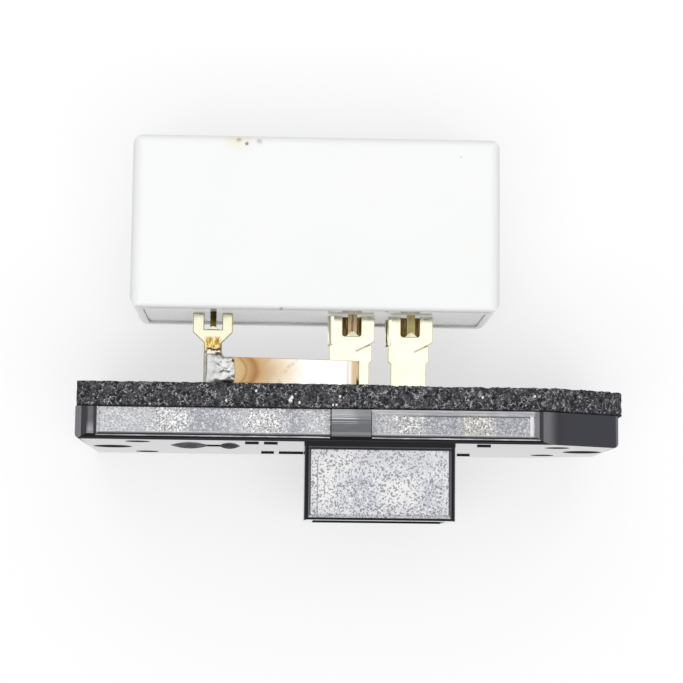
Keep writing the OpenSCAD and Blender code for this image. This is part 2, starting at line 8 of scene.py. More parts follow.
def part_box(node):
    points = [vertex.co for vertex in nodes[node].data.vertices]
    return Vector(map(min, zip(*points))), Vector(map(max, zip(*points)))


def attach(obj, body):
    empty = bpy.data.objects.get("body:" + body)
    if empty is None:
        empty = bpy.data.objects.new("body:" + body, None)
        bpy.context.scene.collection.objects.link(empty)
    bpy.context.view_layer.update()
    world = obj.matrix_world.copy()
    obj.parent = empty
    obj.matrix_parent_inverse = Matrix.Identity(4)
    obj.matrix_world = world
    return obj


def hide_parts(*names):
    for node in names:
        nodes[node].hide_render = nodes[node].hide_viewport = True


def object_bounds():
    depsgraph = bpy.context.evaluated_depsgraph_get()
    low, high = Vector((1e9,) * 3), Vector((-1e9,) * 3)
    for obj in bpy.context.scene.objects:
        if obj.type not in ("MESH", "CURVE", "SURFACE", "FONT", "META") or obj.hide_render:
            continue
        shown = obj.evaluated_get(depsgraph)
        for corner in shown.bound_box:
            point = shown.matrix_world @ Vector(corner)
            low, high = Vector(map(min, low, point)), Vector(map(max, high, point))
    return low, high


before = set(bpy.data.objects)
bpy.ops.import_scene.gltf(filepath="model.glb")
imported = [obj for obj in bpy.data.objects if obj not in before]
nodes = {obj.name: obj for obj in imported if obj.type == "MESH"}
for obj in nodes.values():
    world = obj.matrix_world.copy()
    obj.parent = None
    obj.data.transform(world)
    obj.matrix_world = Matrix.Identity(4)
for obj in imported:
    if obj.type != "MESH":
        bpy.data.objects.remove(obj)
cad_lo, cad_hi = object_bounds()
MM = 0.001
PER_METRE = 1000  # mm
SPOT_WOBBLE = 1.4  # range of the noise on a mark's border, in radii

# Places on the plate in mm, used by its materials and by the choice of faces
PLATE_LO, PLATE_HI = (corner * PER_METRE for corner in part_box("base_plate"))
SIDE_Y = PLATE_HI.y
PANEL_X = (-44.0, 32.6)  # outer ends of the recessed panels
RIB_X = (-3.6, 3.4)  # the plain rib between them
CUT_X = 33.1  # where the long side turns into the cut corner
LEFT_END_X = -46.5  # where the rounded left end starts
LIP_Z = -4.7  # top of the lower lip
SHROUD_Z = -5.66  # just under the plate, where the socket starts
SOCKET_MID = 5.46  # x of the socket's middle
SOCKET_FRONT = 8.05  # its front's distance from the long axis
MOUTH_Z = -18.5  # just above the socket's mouth


# Shader building
class Shader:
    """A Principled material with short calls for its nodes. Coordinates are object space in mm.

    A value is a number, a colour or the output of a node. Where a call takes a coordinate, that is
    a letter or an output. In node(), p_ starts the name of a property and i the number of an input.
    """

    def __init__(self, name, **settings):
        self.mat = bpy.data.materials.new(name)
        self.mat.use_nodes = True
        self.tree = self.mat.node_tree
        self.tree.nodes.clear()
        out = self.tree.nodes.new("ShaderNodeOutputMaterial")
        self.bsdf = self.tree.nodes.new("ShaderNodeBsdfPrincipled")
        self.tree.links.new(self.bsdf.outputs[0], out.inputs["Surface"])
        self.place = self.vector("MULTIPLY", self.node("TexCoord", "Object"), (PER_METRE,) * 3)
        self.set(**settings)

    def feed(self, socket, value):
        if isinstance(value, bpy.types.NodeSocket):
            self.tree.links.new(value, socket)
        elif isinstance(value, (tuple, list)) and socket.type == "RGBA" and len(value) == 3:
            socket.default_value = (*value, 1)
        else:
            socket.default_value = value

    def set(self, **settings):
        for name, value in settings.items():
            self.feed(self.bsdf.inputs[name.replace("_", " ")], value)

    def node(self, kind, out=0, **feeds):
        made = self.tree.nodes.new("ShaderNode" + kind)
        inputs = {}
        for key, value in feeds.items():
            if key.startswith("p_"):
                setattr(made, key[2:], value)
            elif key[0] == "i" and key[1:].isdigit():
                inputs[int(key[1:])] = value
            else:
                inputs[key.replace("_", " ")] = value
        for key, value in inputs.items():
            self.feed(made.inputs[key], value)
        return made.outputs[out]

    def vector(self, operation, first, second=(0, 0, 0), out=0):
        return self.node("VectorMath", out, p_operation=operation, i0=first, i1=second)

    def math(self, operation, first, second=0.0):
        return self.node("Math", p_operation=operation, i0=first, i1=second)

    def both(self, *masks):
        """The product of the masks: 1 where each of them is 1."""
        product = masks[0]
        for mask in masks[1:]:
            product = self.math("MULTIPLY", product, mask)
        return product

    def either(self, *masks):
        """The largest of the masks: 1 where any of them is 1."""
        largest = masks[0]
        for mask in masks[1:]:
            largest = self.math("MAXIMUM", largest, mask)
        return largest

    def axis(self, where):
        """A coordinate named by its letter, or an output as it is."""
        if not isinstance(where, str):
            return where
        return self.node("SeparateXYZ", "XYZ".index(where), i0=self.place)

    def stretched(self, stretch, place=None):
        place = place or self.place
        return self.vector("MULTIPLY", place, stretch) if stretch else place

    def noise(self, scale, detail=3.0, rough=0.5, stretch=None, distortion=0.0):
        return self.node(
            "TexNoise", Vector=self.stretched(stretch),
            Scale=scale, Detail=detail, Roughness=rough, Distortion=distortion,
        )

    def cells(self, scale, place=None, feature="F1", stretch=None):
        place = self.stretched(stretch, place)
        return self.node("TexVoronoi", p_feature=feature, Vector=place, Scale=scale)

    def span(self, where, start, end, low=0.0, high=1.0, smooth=True):
        """A coordinate or value mapped from start..end to low..high and held there."""
        return self.node(
            "MapRange", p_interpolation_type="SMOOTHSTEP" if smooth else "LINEAR",
            Value=self.axis(where), From_Min=start, From_Max=end, To_Min=low, To_Max=high,
        )

    def slab(self, where, start, end, soft):
        """1 where a coordinate lies between start and end, with soft ends."""
        value = self.axis(where)
        rise = self.span(value, start - soft, start + soft)
        return self.both(rise, self.span(value, end - soft, end + soft, 1.0, 0.0))

    def wavy(self, which, scale, amount, stretch=None):
        """A coordinate shifted by noise, for soft uneven borders."""
        shake = self.noise(scale, 4.0, 0.6, stretch=stretch)
        shift = self.span(shake, 0.2, 0.8, -amount, amount, smooth=False)
        return self.math("ADD", self.axis(which), shift)

    def uneven(self, low, high, scale, detail=4.0, rough=0.5):
        """A value that wanders between low and high, for roughness."""
        return self.span(self.noise(scale, detail, rough), 0.3, 0.7, low, high)

    def warped(self, amount):
        """The coordinates pushed about by noise, for curled cells."""
        push = self.node("TexNoise", "Color", Vector=self.place, Scale=0.9, Detail=3.0)
        return self.vector("ADD", self.place, self.vector("MULTIPLY", push, (amount,) * 3))

    def mix(self, share, below, above, blend="MIX"):
        return self.node(
            "Mix", 2, p_data_type="RGBA", p_blend_type=blend, i0=share, i6=below, i7=above,
        )

    def ramp(self, value, stops):
        made = self.tree.nodes.new("ShaderNodeValToRGB")
        self.feed(made.inputs[0], value)
        while len(made.color_ramp.elements) < len(stops):
            made.color_ramp.elements.new(0.5)
        for element, (position, colour) in zip(made.color_ramp.elements, stops):
            element.position = position
            element.color = (*colour, 1)
        return made.outputs[0]

    def bump(self, height, strength, depth_mm, under=None):
        below = {"Normal": under} if under else {}
        return self.node("Bump", Strength=strength, Distance=depth_mm * MM, Height=height, **below)

    def edge(self, radius_mm, start=0.02, end=0.1):
        """1 along the sharp edges of the piece, 0 on its faces."""
        rounded = self.node("Bevel", p_samples=6, Radius=radius_mm * MM)
        flat = self.node("NewGeometry", "True Normal")
        alike = self.vector("DOT_PRODUCT", rounded, flat, "Value")
        return self.span(alike, 1 - start, 1 - end)

    def spot(self, x, z, radius, soft=0.5, squash=1.0):
        """1 inside a roughly round mark at x, z in mm on a face that looks to the front."""
        push = self.node("TexNoise", "Color", Vector=self.place, Scale=1.7, Detail=3.0)
        push = self.vector("SUBTRACT", push, (0.5, 0.5, 0.5))
        push = self.vector("MULTIPLY", push, (SPOT_WOBBLE * radius,) * 3)
        away = self.vector("SUBTRACT", self.vector("ADD", self.place, push), (x, 0, z))
        away = self.vector("MULTIPLY", away, (1, 0, squash))
        distance = self.vector("LENGTH", away, out="Value")
        return self.span(distance, radius * (1 - soft), radius * (1 + soft), 1.0, 0.0)


def tone(value, tint=(1, 1, 1)):
    return tuple(value * share for share in tint)


# Materials of the block

# Marks on the glaze: x, z, radius in mm, colour, amount, softness
STAINS = [
    (-21.2, 48.7, 1.5, (0.87, 0.8, 0.6), 0.6, 0.9),
    (-19.2, 48.6, 1.3, (0.87, 0.8, 0.66), 0.5, 0.9),
    (-20.5, 48.7, 0.42, (0.45, 0.42, 0.24), 0.85, 0.8),
    (-19.04, 48.0, 0.32, (0.2, 0.18, 0.12), 0.95, 0.6),
    (-16.8, 48.47, 0.42, (0.5, 0.46, 0.4), 0.75, 0.8),
    (-12.5, 18.35, 0.28, (0.3, 0.29, 0.28), 0.6, 0.6),
    (19.3, 46.25, 0.22, (0.6, 0.59, 0.56), 0.5, 0.6),
    (21.1, 29.8, 1.2, (0.88, 0.87, 0.8), 0.3, 0.9),
    (3.5, 43.0, 3.5, (0.88, 0.875, 0.84), 0.25, 0.9),
]


def glazed_ceramic():
    """White glaze with slight clouds and small scorch marks on the block's front."""
    skin = Shader("glazed_ceramic", IOR=1.5)
    cloud = skin.noise(0.05, 4.0)
    base = skin.ramp(cloud, [(0.3, (0.865, 0.865, 0.858)), (0.7, (0.885, 0.885, 0.882))])
    front = skin.span("Y", -10.2, -9.2, 1.0, 0.0)
    for x, z, radius, colour, amount, soft in STAINS:
        base = skin.mix(skin.both(skin.spot(x, z, radius, soft), front, amount), base, colour)
    peel = skin.bump(skin.noise(0.3, 2.0, 0.4), 0.08, 0.05)
    grain = skin.bump(skin.noise(3.0, 2.0, 0.4), 0.03, 0.01, peel)
    skin.set(Base_Color=base, Roughness=skin.uneven(0.19, 0.24, 0.12), Normal=grain)
    return skin.mat


def pale_cement():
    """Smooth pale cement with a few grey pits."""
    skin = Shader("grey_cement", IOR=1.45)
    cloud = skin.noise(0.3, 4.0, 0.5)
    base = skin.ramp(cloud, [(0.3, (0.93, 0.93, 0.92)), (0.7, (0.96, 0.96, 0.95))])
    base = skin.mix(skin.span(skin.cells(0.9), 0.0, 0.1, 0.2, 0.0), base, (0.6, 0.6, 0.58))
    skin.set(Base_Color=base, Roughness=skin.uneven(0.15, 0.22, 1.5, 3.0))
    skin.set(Normal=skin.bump(skin.noise(1.2, 4.0, 0.5), 0.1, 0.02))
    return skin.mat


# Materials of the plate
# grey of the painted highlight along the socket's mouth
MOUTH_HIGHLIGHT_GREY = (0.62, 0.62, 0.64)
COOL_TINT = (0.99, 0.99, 1.03)


def moulded(skin, low, high, rough, wave):
    """Flow marks, fine scuffs and slight waviness of a black moulded face. Returns its base colour."""
    tint = (1, 1, 1.12)
    base = skin.ramp(skin.noise(0.12, 4.0), [(0.3, tone(low, tint)), (0.7, tone(high, tint))])
    scuffs = skin.noise(2.2, 6.0, 0.7, stretch=(0.25, 1, 1.6))
    base = skin.mix(skin.span(scuffs, 0.64, 0.78, 0, 0.25), base, tone(high * 2.2 + 0.015))
    cloud = skin.noise(0.7, 5.0, 0.6)
    skin.set(Roughness=skin.span(cloud, 0.35, 0.75, rough * 0.7, rough * 1.3))
    swell = skin.bump(skin.noise(0.35, 3.0), wave, 0.05)
    skin.set(Normal=skin.bump(skin.noise(5.0, 3.0), 0.1, 0.02, swell))
    return base


def mouth_highlight(skin):
    """1 along the front of the socket's mouth, where a highlight is painted on its edge."""
    return skin.both(skin.span("Z", -18.66, -18.7), skin.span("Y", -7.6, -7.8))


def polished_plastic():
    """Polished faces of the plate and the socket's walls.

    Paler where the long edge turns into the cut corner as painted highlight, bluish beyond that as
    painted reflection, darker on the socket, with a grey line of painted highlight where the socket meets
    the plate.
    """
    skin = Shader("polished_plastic", IOR=1.37)
    base = moulded(skin, 0.022, 0.03, 0.14, 0.2)
    # painted highlight on the rounded turn into the cut corner
    turn = skin.both(skin.span("X", 32.9, 33.3), skin.span("X", 36.0, 33.6))
    base = skin.mix(turn, base, (0.14, 0.14, 0.155))
    # painted reflection: the cut corner lighter and bluish
    base = skin.mix(skin.span("X", 35.0, 38.0, 0, 0.7), base, (0.034, 0.035, 0.046))
    shroud = skin.span("Z", -5.6, -5.7)
    base = skin.mix(shroud, base, (0.011, 0.011, 0.015))
    # painted highlight: a grey line on the bevel where the socket meets the plate
    head = skin.both(
        skin.slab("Z", -5.98, -5.7, 0.05), skin.slab("Y", -9.0, -7.95, 0.05),
        skin.slab("X", -7.3, 18.2, 0.1),
    )
    base = skin.mix(head, base, (0.115, 0.115, 0.125))
    # painted highlight along the socket's mouth
    skin.set(Base_Color=skin.mix(mouth_highlight(skin), base, MOUTH_HIGHLIGHT_GREY))
    skin.set(Specular_IOR_Level=skin.span(shroud, 0.0, 1.0, 0.5, 0.2))
    return skin.mat


def dull_plastic():
    """Melted stakes over the fuse terminal's feet."""
    skin = Shader("dull_plastic", IOR=1.4, Specular_IOR_Level=0.2)
    skin.set(Base_Color=moulded(skin, 0.018, 0.03, 0.55, 0.6))
    return skin.mat


def underside_plastic():
    """Smooth underside, a mirror at a low angle but for the dull strip in front of the socket."""
    skin = Shader("underside_plastic", IOR=1.5)
    ahead = skin.math("ADD", skin.axis("Y"), 8.0)
    left_slant, right_slant = 0.0127, 0.089
    left = skin.math("SUBTRACT", skin.axis("X"), skin.both(ahead, left_slant))
    right = skin.math("SUBTRACT", skin.axis("X"), skin.both(ahead, right_slant))
    strip = skin.both(
        skin.span(left, -8.1, -8.0), skin.span(right, 19.0, 18.8), skin.slab("Y", -18.6, -8.0, 0.1),
    )
    base = moulded(skin, 0.02, 0.028, 0.045, 0.06)
    skin.set(Base_Color=skin.mix(strip, base, (0.032, 0.032, 0.035)))
    skin.set(Specular_IOR_Level=skin.both(skin.math("SUBTRACT", 1.0, strip), 0.5))
    return skin.mat


def rim_plastic():
    """Broken edges and the inside of the socket: black, but for a painted highlight on the front edge of
    the mouth.
    """
    skin = Shader("rim_plastic", IOR=1.4, Specular_IOR_Level=0.15)
    base = moulded(skin, 0.006, 0.012, 0.35, 0.1)
    # painted highlight along the socket's mouth
    skin.set(Base_Color=skin.mix(mouth_highlight(skin), base, MOUTH_HIGHLIGHT_GREY))
    return skin.mat


def lip_plastic():
    """Lower lip of the plate's edge: black, with a painted highlight line along the recesses and a
    parting line.
    """
    skin = Shader("lip_plastic", IOR=1.4, Specular_IOR_Level=0.15)
    base = moulded(skin, 0.004, 0.01, 0.16, 0.2)
    base = skin.mix(skin.slab("Z", -5.5, -5.34, 0.05), base, (0.035, 0.035, 0.04))
    z = skin.wavy("Z", 0.6, 0.03, stretch=(0.3, 1, 1))
    sides = skin.either(
        skin.slab("X", PANEL_X[0], RIB_X[0] - 0.2, 0.1), skin.slab("X", RIB_X[1] + 0.1, PANEL_X[1], 0.1),
    )
    broken = skin.span(skin.noise(0.5, 4.0, 0.6, stretch=(0.5, 1, 1)), 0.35, 0.6, 0.5, 1.0)
    fading = skin.span("X", -42.0, -36.0, 0.5, 1.0)
    # painted highlight: a broken bright line along the lip below the recesses
    bright = skin.both(skin.slab(z, -5.0, -4.82, 0.04), sides, broken, fading)
    skin.set(Base_Color=skin.mix(bright, base, (0.62, 0.62, 0.65)))
    return skin.mat


def slope_plastic():
    """Lower slope of the panels: pale at the panel's foot as painted sheen, dark along the lip as painted
    shade.
    """
    skin = Shader("slope_plastic", IOR=1.4, Specular_IOR_Level=0.25)
    z = skin.wavy("Z", 0.5, 0.04, stretch=(0.2, 1, 1))
    tint = (1, 1, 1.04)
    # painted sheen: pale grey on black plastic
    pale = skin.mix(skin.noise(0.8, 4.0, 0.6), tone(0.2, tint), tone(0.5, tint))
    # painted shade along the lip
    base = skin.mix(skin.span(z, -4.4, -4.52), pale, tone(0.012))
    skin.set(Base_Color=base, Roughness=skin.uneven(0.3, 0.4, 1.5))
    return skin.mat


# Drag lines across the rib: z, half width in mm, amount
RIB_LINES = [(-0.95, 0.06, 0.4), (-1.62, 0.09, 0.8), (-2.14, 0.07, 0.5), (-2.45, 0.05, 0.3)]


def satin_plastic():
    """The plain rib, the small left recess and the rounded ends: black, with their satin sheen painted
    grey.

    The rib is pale at its head and foot as painted highlight, with drag lines that fade to the right.
    """
    skin = Shader("satin_plastic", IOR=1.4)
    lines = skin.noise(2.2, 5.0, 0.6, stretch=(0.12, 1, 3.2))
    base = skin.mix(skin.span(lines, 0.3, 0.7), (0.105, 0.106, 0.114), (0.14, 0.142, 0.152))
    # painted highlight on the rounded left end
    base = skin.mix(skin.span("X", -46.2, -46.6, 0, 0.5), base, (0.2, 0.2, 0.215))
    rib = skin.slab("X", *RIB_X, 0.2)
    # painted highlight at the rib's head, fading to the right
    head = skin.both(skin.span("Z", -1.7, -1.2), rib, skin.span(lines, 0.3, 0.6, 0.5, 1.0))
    pale = skin.mix(skin.span("X", -1.0, 1.5), (0.4, 0.41, 0.42), (0.24, 0.245, 0.25))
    base = skin.mix(head, base, pale)
    left = skin.both(rib, skin.span("X", 1.6, 0.2, 0.25, 1.0))
    for z, width, amount in RIB_LINES:
        wavy_z = skin.wavy("Z", 0.6, 0.05, stretch=(0.3, 1, 1))
        line = skin.both(skin.slab(wavy_z, z - width, z + width, 0.05), left, amount)
        base = skin.mix(line, base, (0.72, 0.72, 0.73))
    # painted highlight at the rib's foot
    foot = skin.both(skin.slab("Z", -4.4, -3.95, 0.08), rib, 0.6)
    base = skin.mix(foot, base, (0.26, 0.26, 0.27))
    recess = skin.both(skin.slab("X", -45.6, -44.2, 0.1), skin.span("Z", -2.2, -4.2))
    base = skin.mix(recess, base, (0.34, 0.34, 0.36))
    skin.set(Base_Color=base, Roughness=skin.uneven(0.38, 0.5, 1.5))
    skin.set(Normal=skin.bump(lines, 0.35, 0.04))
    return skin.mat


def step_plastic():
    """Upper and right-hand walls of the right panel: smooth, pale above as painted reflection, with a
    line of painted shade along the top, and grey at the end.
    """
    skin = Shader("step_plastic", IOR=1.45)
    lines = skin.noise(1.6, 4.0, 0.6, stretch=(0.2, 1, 2.0))
    # painted reflection: pale grey on black plastic
    base = skin.mix(skin.span(lines, 0.3, 0.7), tone(0.42, COOL_TINT), tone(0.62, COOL_TINT))
    # painted shade: a dark line along the top
    dark = skin.both(skin.slab("Z", -0.46, -0.32, 0.06), skin.span("X", 6.0, 11.0, 0.15, 0.45))
    base = skin.mix(dark, base, tone(0.2))
    base = skin.mix(skin.span("X", 31.5, 31.8), base, tone(0.25, COOL_TINT))
    skin.set(Base_Color=base, Roughness=0.42, Normal=skin.bump(lines, 0.2, 0.03))
    return skin.mat


# Areas of painted glare on the textured faces, bright blotches and cool areas: x from, x to, z from, z to
# in mm
ALL_Z = (-9, 2)  # well past the panels' height
EDGE_GLARE = [(-34.0, -28.2, *ALL_Z), (-18.2, -11.9, *ALL_Z), (7.5, 12.4, *ALL_Z), (19.4, 24.2, *ALL_Z)]
EDGE_COOL = [(-28.0, -21.6, *ALL_Z), (-11.4, -8.4, *ALL_Z), (12.6, 18.8, *ALL_Z), (24.8, 40.0, *ALL_Z)]
SOCKET_GLARE = [(-5.7, -2.4, -17.2, -6.6), (5.3, 12.3, -16.6, -11.6), (-2.4, 0.6, -9.6, -6.6)]
SOCKET_COOL = [(0.5, 4.3, -16.6, -10.6), (12.4, 16.5, -18.3, -11.6)]
AREA_SOFT = 1.0


def area_mask(skin, boxes):
    """1 inside any of the boxes, with wavy soft borders."""
    x = skin.wavy("X", 0.5, 1.2)
    z = skin.wavy("Z", 0.55, 1.1)
    return skin.either(*(
        skin.both(skin.slab(x, left, right, AREA_SOFT), skin.slab(z, low, high, AREA_SOFT))
        for left, right, low, high in boxes
    ))


def eroded(skin, sheen_paleness, white, cool, contrast):
    """Spark-eroded texture on black plastic, its sheen painted pale grey, with dark specks and white
    curls of painted glare. Returns the colour.

    The masks white and cool mark its areas of bright and of cool painted glare. Contrast rises down the
    socket.
    """
    curl = skin.noise(2.3, 2.0, 0.6, distortion=0.9)
    fine = skin.noise(3.4, 1.0, 0.5)

    def grey(share, tint):
        return tone(sheen_paleness * share, tint)

    cloud = skin.span(skin.noise(0.16, 3.0), 0.35, 0.65)
    base = skin.mix(cloud, grey(1, (0.98, 0.985, 1.03)), grey(1.15, (0.99, 0.99, 1.02)))
    # painted glare: cooler and brighter areas
    base = skin.mix(skin.both(cool, 0.85), base, grey(0.8, (0.96, 0.99, 1.1)))
    base = skin.mix(skin.both(white, 0.8), base, grey(1.3, (1, 0.99, 0.97)))
    # painted glare, lighter towards the left end
    base = skin.mix(skin.span("X", -32.0, -36.0, 0, 0.5), base, grey(1.35, (0.99, 0.99, 1.02)))
    plain = skin.span("Z", -8.0, -14.0, contrast, contrast + 0.35)
    keen = skin.span(white, 0.0, 1.0, plain, 0.85)
    curls = skin.both(skin.span(curl, 0.5, 0.58), keen)
    base = skin.mix(curls, base, (0.97, 0.965, 0.97))
    specks = skin.both(skin.span(fine, 0.47, 0.4), skin.span(keen, 0.0, 1.0, 0.3, 1.0), 0.9)
    base = skin.mix(specks, base, grey(0.34, (0.98, 0.98, 1.05)))
    skin.set(Roughness=skin.span(fine, 0.35, 0.65, 0.55, 0.42))
    skin.set(Normal=skin.bump(fine, 0.5, 0.06, skin.bump(curl, 0.4, 0.06)))
    return base


def panel_plastic():
    """Recessed panels: lighter at the left, warm in one area at the right, with lines at the borders."""
    skin = Shader("panel_texture", IOR=1.45)
    white = area_mask(skin, EDGE_GLARE)
    base = eroded(skin, 0.41, white, area_mask(skin, EDGE_COOL), 0.45)
    # painted sheen: a little brighter left of the rib than right of it
    base = skin.mix(1.0, base, skin.span("X", -3.5, 3.5, 1.1, 0.97), "MULTIPLY")
    warm = skin.both(white, skin.span("X", 16.0, 18.0, 0, 0.8))
    base = skin.mix(warm, base, (1, 0.96, 0.9), "MULTIPLY")
    # painted shade: a line along the panel's foot
    foot = skin.slab("Z", -4.28, -4.06, 0.06)
    base = skin.mix(skin.both(foot, 0.5), base, (0.8, 0.8, 0.8))
    # painted shade: a dark line along the head of the right panel
    head = skin.both(skin.slab("Z", -1.08, -0.8, 0.06), skin.span("X", 5.0, 14.0))
    base = skin.mix(skin.both(head, 0.85), base, tone(0.1))
    # painted shade: a line at the right panel's end
    end = skin.slab("X", 30.9, 31.5, 0.08)
    base = skin.mix(skin.both(end, 0.8), base, (0.85, 0.85, 0.86))
    skin.set(Base_Color=base)
    return skin.mat


def socket_plastic():
    """The socket's framed front: lighter above, with a line at each side and a dark slope below."""
    skin = Shader("socket_texture", IOR=1.45)
    white = area_mask(skin, SOCKET_GLARE)
    base = eroded(skin, 0.76, white, area_mask(skin, SOCKET_COOL), 0.65)
    # painted light: lighter towards the top
    base = skin.mix(1.0, base, skin.span("Z", -17.5, -7.0, 0.87, 1.13, smooth=False), "MULTIPLY")
    # painted shade: lines down the frame's two sides
    left = skin.both(skin.slab("X", -5.72, -5.5, 0.06), skin.span("Z", -7.6, -9.0))
    base = skin.mix(skin.both(left, 0.7), base, tone(0.25))
    right = skin.slab("X", 16.5, 16.75, 0.06)
    base = skin.mix(skin.both(right, 0.4), base, (0.9, 0.9, 0.9))
    # painted shade: the dark slope at the foot of the frame
    base = skin.mix(skin.span("Z", -18.24, -18.3), base, tone(0.01))
    skin.set(Base_Color=base)
    return skin.mat


# Material of the foam

# Painted glints on the foam: x, z, radius in mm
GLINTS = [
    (-16.6, 3.0, 0.2), (-10.7, 1.5, 0.32), (-10.4, 2.0, 0.25), (-9.1, 1.1, 0.2),
    (-2.1, 2.2, 0.2), (-3.3, 0.75, 0.16), (-2.7, 0.8, 0.16), (-21.7, 1.3, 0.18),
    (22.6, 2.4, 0.2), (31.6, 2.7, 0.22), (43.6, 2.0, 0.25), (47.0, 2.2, 0.2),
]
PAINTED_SHADE_BLACK = (0.004, 0.004, 0.006)


def open_foam():
    """Charcoal open-cell foam: black cells as painted shade, a lighter skin, curled struts and glints
    that are painted highlights, and a painted shadow along its foot.
    """
    skin = Shader("open_foam", Specular_IOR_Level=0.3)
    place = skin.warped(1.3)
    cell = skin.cells(1.15, place=place)
    strut = skin.cells(1.15, place=place, feature="DISTANCE_TO_EDGE")
    rough = skin.noise(1.3, 5.0, 0.7)
    area = skin.noise(0.2, 3.0, 0.55)
    grit = skin.noise(3.0, 3.0, 0.65)
    base = skin.mix(skin.span(rough, 0.36, 0.66), (0.015, 0.015, 0.017), (0.095, 0.093, 0.1))
    base = skin.mix(skin.span(grit, 0.54, 0.66), base, (0.26, 0.26, 0.27))
    base = skin.mix(skin.span(grit, 0.45, 0.36), base, (0.008, 0.008, 0.01))
    base = skin.mix(skin.span(area, 0.35, 0.65, 0.3, 0.0), base, (0.022, 0.022, 0.026))
    # painted shade in the cells' hollows
    base = skin.mix(skin.span(cell, 0.45, 0.2, 0, 0.9), base, PAINTED_SHADE_BLACK)
    tint = skin.span(skin.noise(0.6, 3.0), 0.55, 0.66, 0, 0.35)
    base = skin.mix(tint, base, (0.1, 0.08, 0.085))
    glint_gate = skin.span(skin.noise(0.9, 3.0, 0.6), 0.52, 0.58)
    # painted highlights on the struts
    lit = skin.both(skin.span(strut, 0.07, 0.015), glint_gate, 0.8)
    base = skin.mix(lit, base, (0.5, 0.5, 0.52))
    # painted glints: small bright dots
    tips = skin.span(skin.cells(1.9, stretch=(0.8, 1, 1.25)), 0.24, 0.14)
    dots = skin.both(tips, skin.span(skin.noise(0.8, 4.0, 0.7), 0.53, 0.56))
    base = skin.mix(dots, base, (0.72, 0.71, 0.69))
    front = skin.span("Y", -17.0, -17.6)
    for x, z, radius in GLINTS:
        glint = skin.both(skin.spot(x, z, radius, 0.35, 0.8), front)
        base = skin.mix(glint, base, (0.9, 0.89, 0.86))
    # painted shadow along the foot of the foam
    base = skin.mix(skin.span("Z", 0.5, 0.15, 0, 0.92), base, PAINTED_SHADE_BLACK)
    skin.set(Base_Color=base, Roughness=skin.span(rough, 0.3, 0.7, 0.85, 0.6))
    skin.set(Normal=skin.bump(cell, 1.0, 0.4, skin.bump(rough, 0.8, 0.3)))
    return skin.mat


# Materials of the terminals
OLIVE = (0.42, 0.33, 0.1)  # olive of the painted dark reflection along the sheet's edges


def brass_faces(skin):
    """Colour and fine lines of the rolled terminal sheet, pale with its thin plating."""
    lines = skin.noise(3.0, 4.0, 0.6, stretch=(2.5, 1, 0.12))
    cloud = skin.noise(0.3, 4.0, 0.6)
    base = skin.mix(skin.span(cloud, 0.35, 0.65), (0.92, 0.915, 0.7), (0.94, 0.935, 0.77))
    base = skin.mix(skin.span(lines, 0.62, 0.82, 0, 0.2), base, (0.86, 0.82, 0.6))
    return base, lines


def painted_dark_edges(skin, base):
    """The colour with olive along the edges of the piece: a painted dark reflection."""
    return skin.mix(skin.both(skin.edge(0.3, 0.01, 0.07), 0.9), base, OLIVE)


def plated_brass():
    """Rolled faces of the folded forks."""
    skin = Shader("plated_brass", Metallic=1.0)
    base, lines = brass_faces(skin)
    skin.set(Base_Color=painted_dark_edges(skin, base), Roughness=skin.uneven(0.1, 0.18, 0.9, 5.0, 0.6))
    skin.set(Normal=skin.bump(lines, 0.12, 0.02, skin.bump(skin.noise(0.6, 2.0), 0.15, 0.05)))
    return skin.mat


def cut_brass():
    """Sheared edges of the terminal sheet, where the bare brass shows, with tear marks."""
    skin = Shader("cut_brass", Metallic=1.0)
    tear = skin.noise(4.0, 5.0, 0.7, stretch=(1, 0.3, 1))
    base = skin.mix(skin.span(tear, 0.4, 0.65), (0.3, 0.23, 0.06), (0.56, 0.47, 0.16))
    skin.set(Base_Color=base, Roughness=skin.span(tear, 0.35, 0.65, 0.5, 0.34))
    skin.set(Normal=skin.bump(tear, 0.4, 0.04))
    return skin.mat


def scorched_brass():
    """Rear flap inside the slot: dark brown as painted shade, with streaks along the prongs."""
    skin = Shader("scorched_brass", Metallic=1.0)
    streak = skin.noise(2.4, 4.0, 0.6, stretch=(1.6, 1, 0.16))
    # painted shade: dark brown to olive
    base = skin.ramp(streak, [
        (0.3, (0.08, 0.035, 0.006)), (0.5, (0.14, 0.085, 0.03)), (0.7, (0.34, 0.27, 0.13)),
    ])
    clean = skin.span(skin.wavy("Y", 1.0, 0.3), -1.6, -1.1)
    base = skin.mix(clean, base, (0.84, 0.78, 0.56))
    skin.set(Base_Color=base, Roughness=skin.uneven(0.36, 0.5, 1.4, 3.0))
    skin.set(Normal=skin.bump(streak, 0.3, 0.03))
    return skin.mat


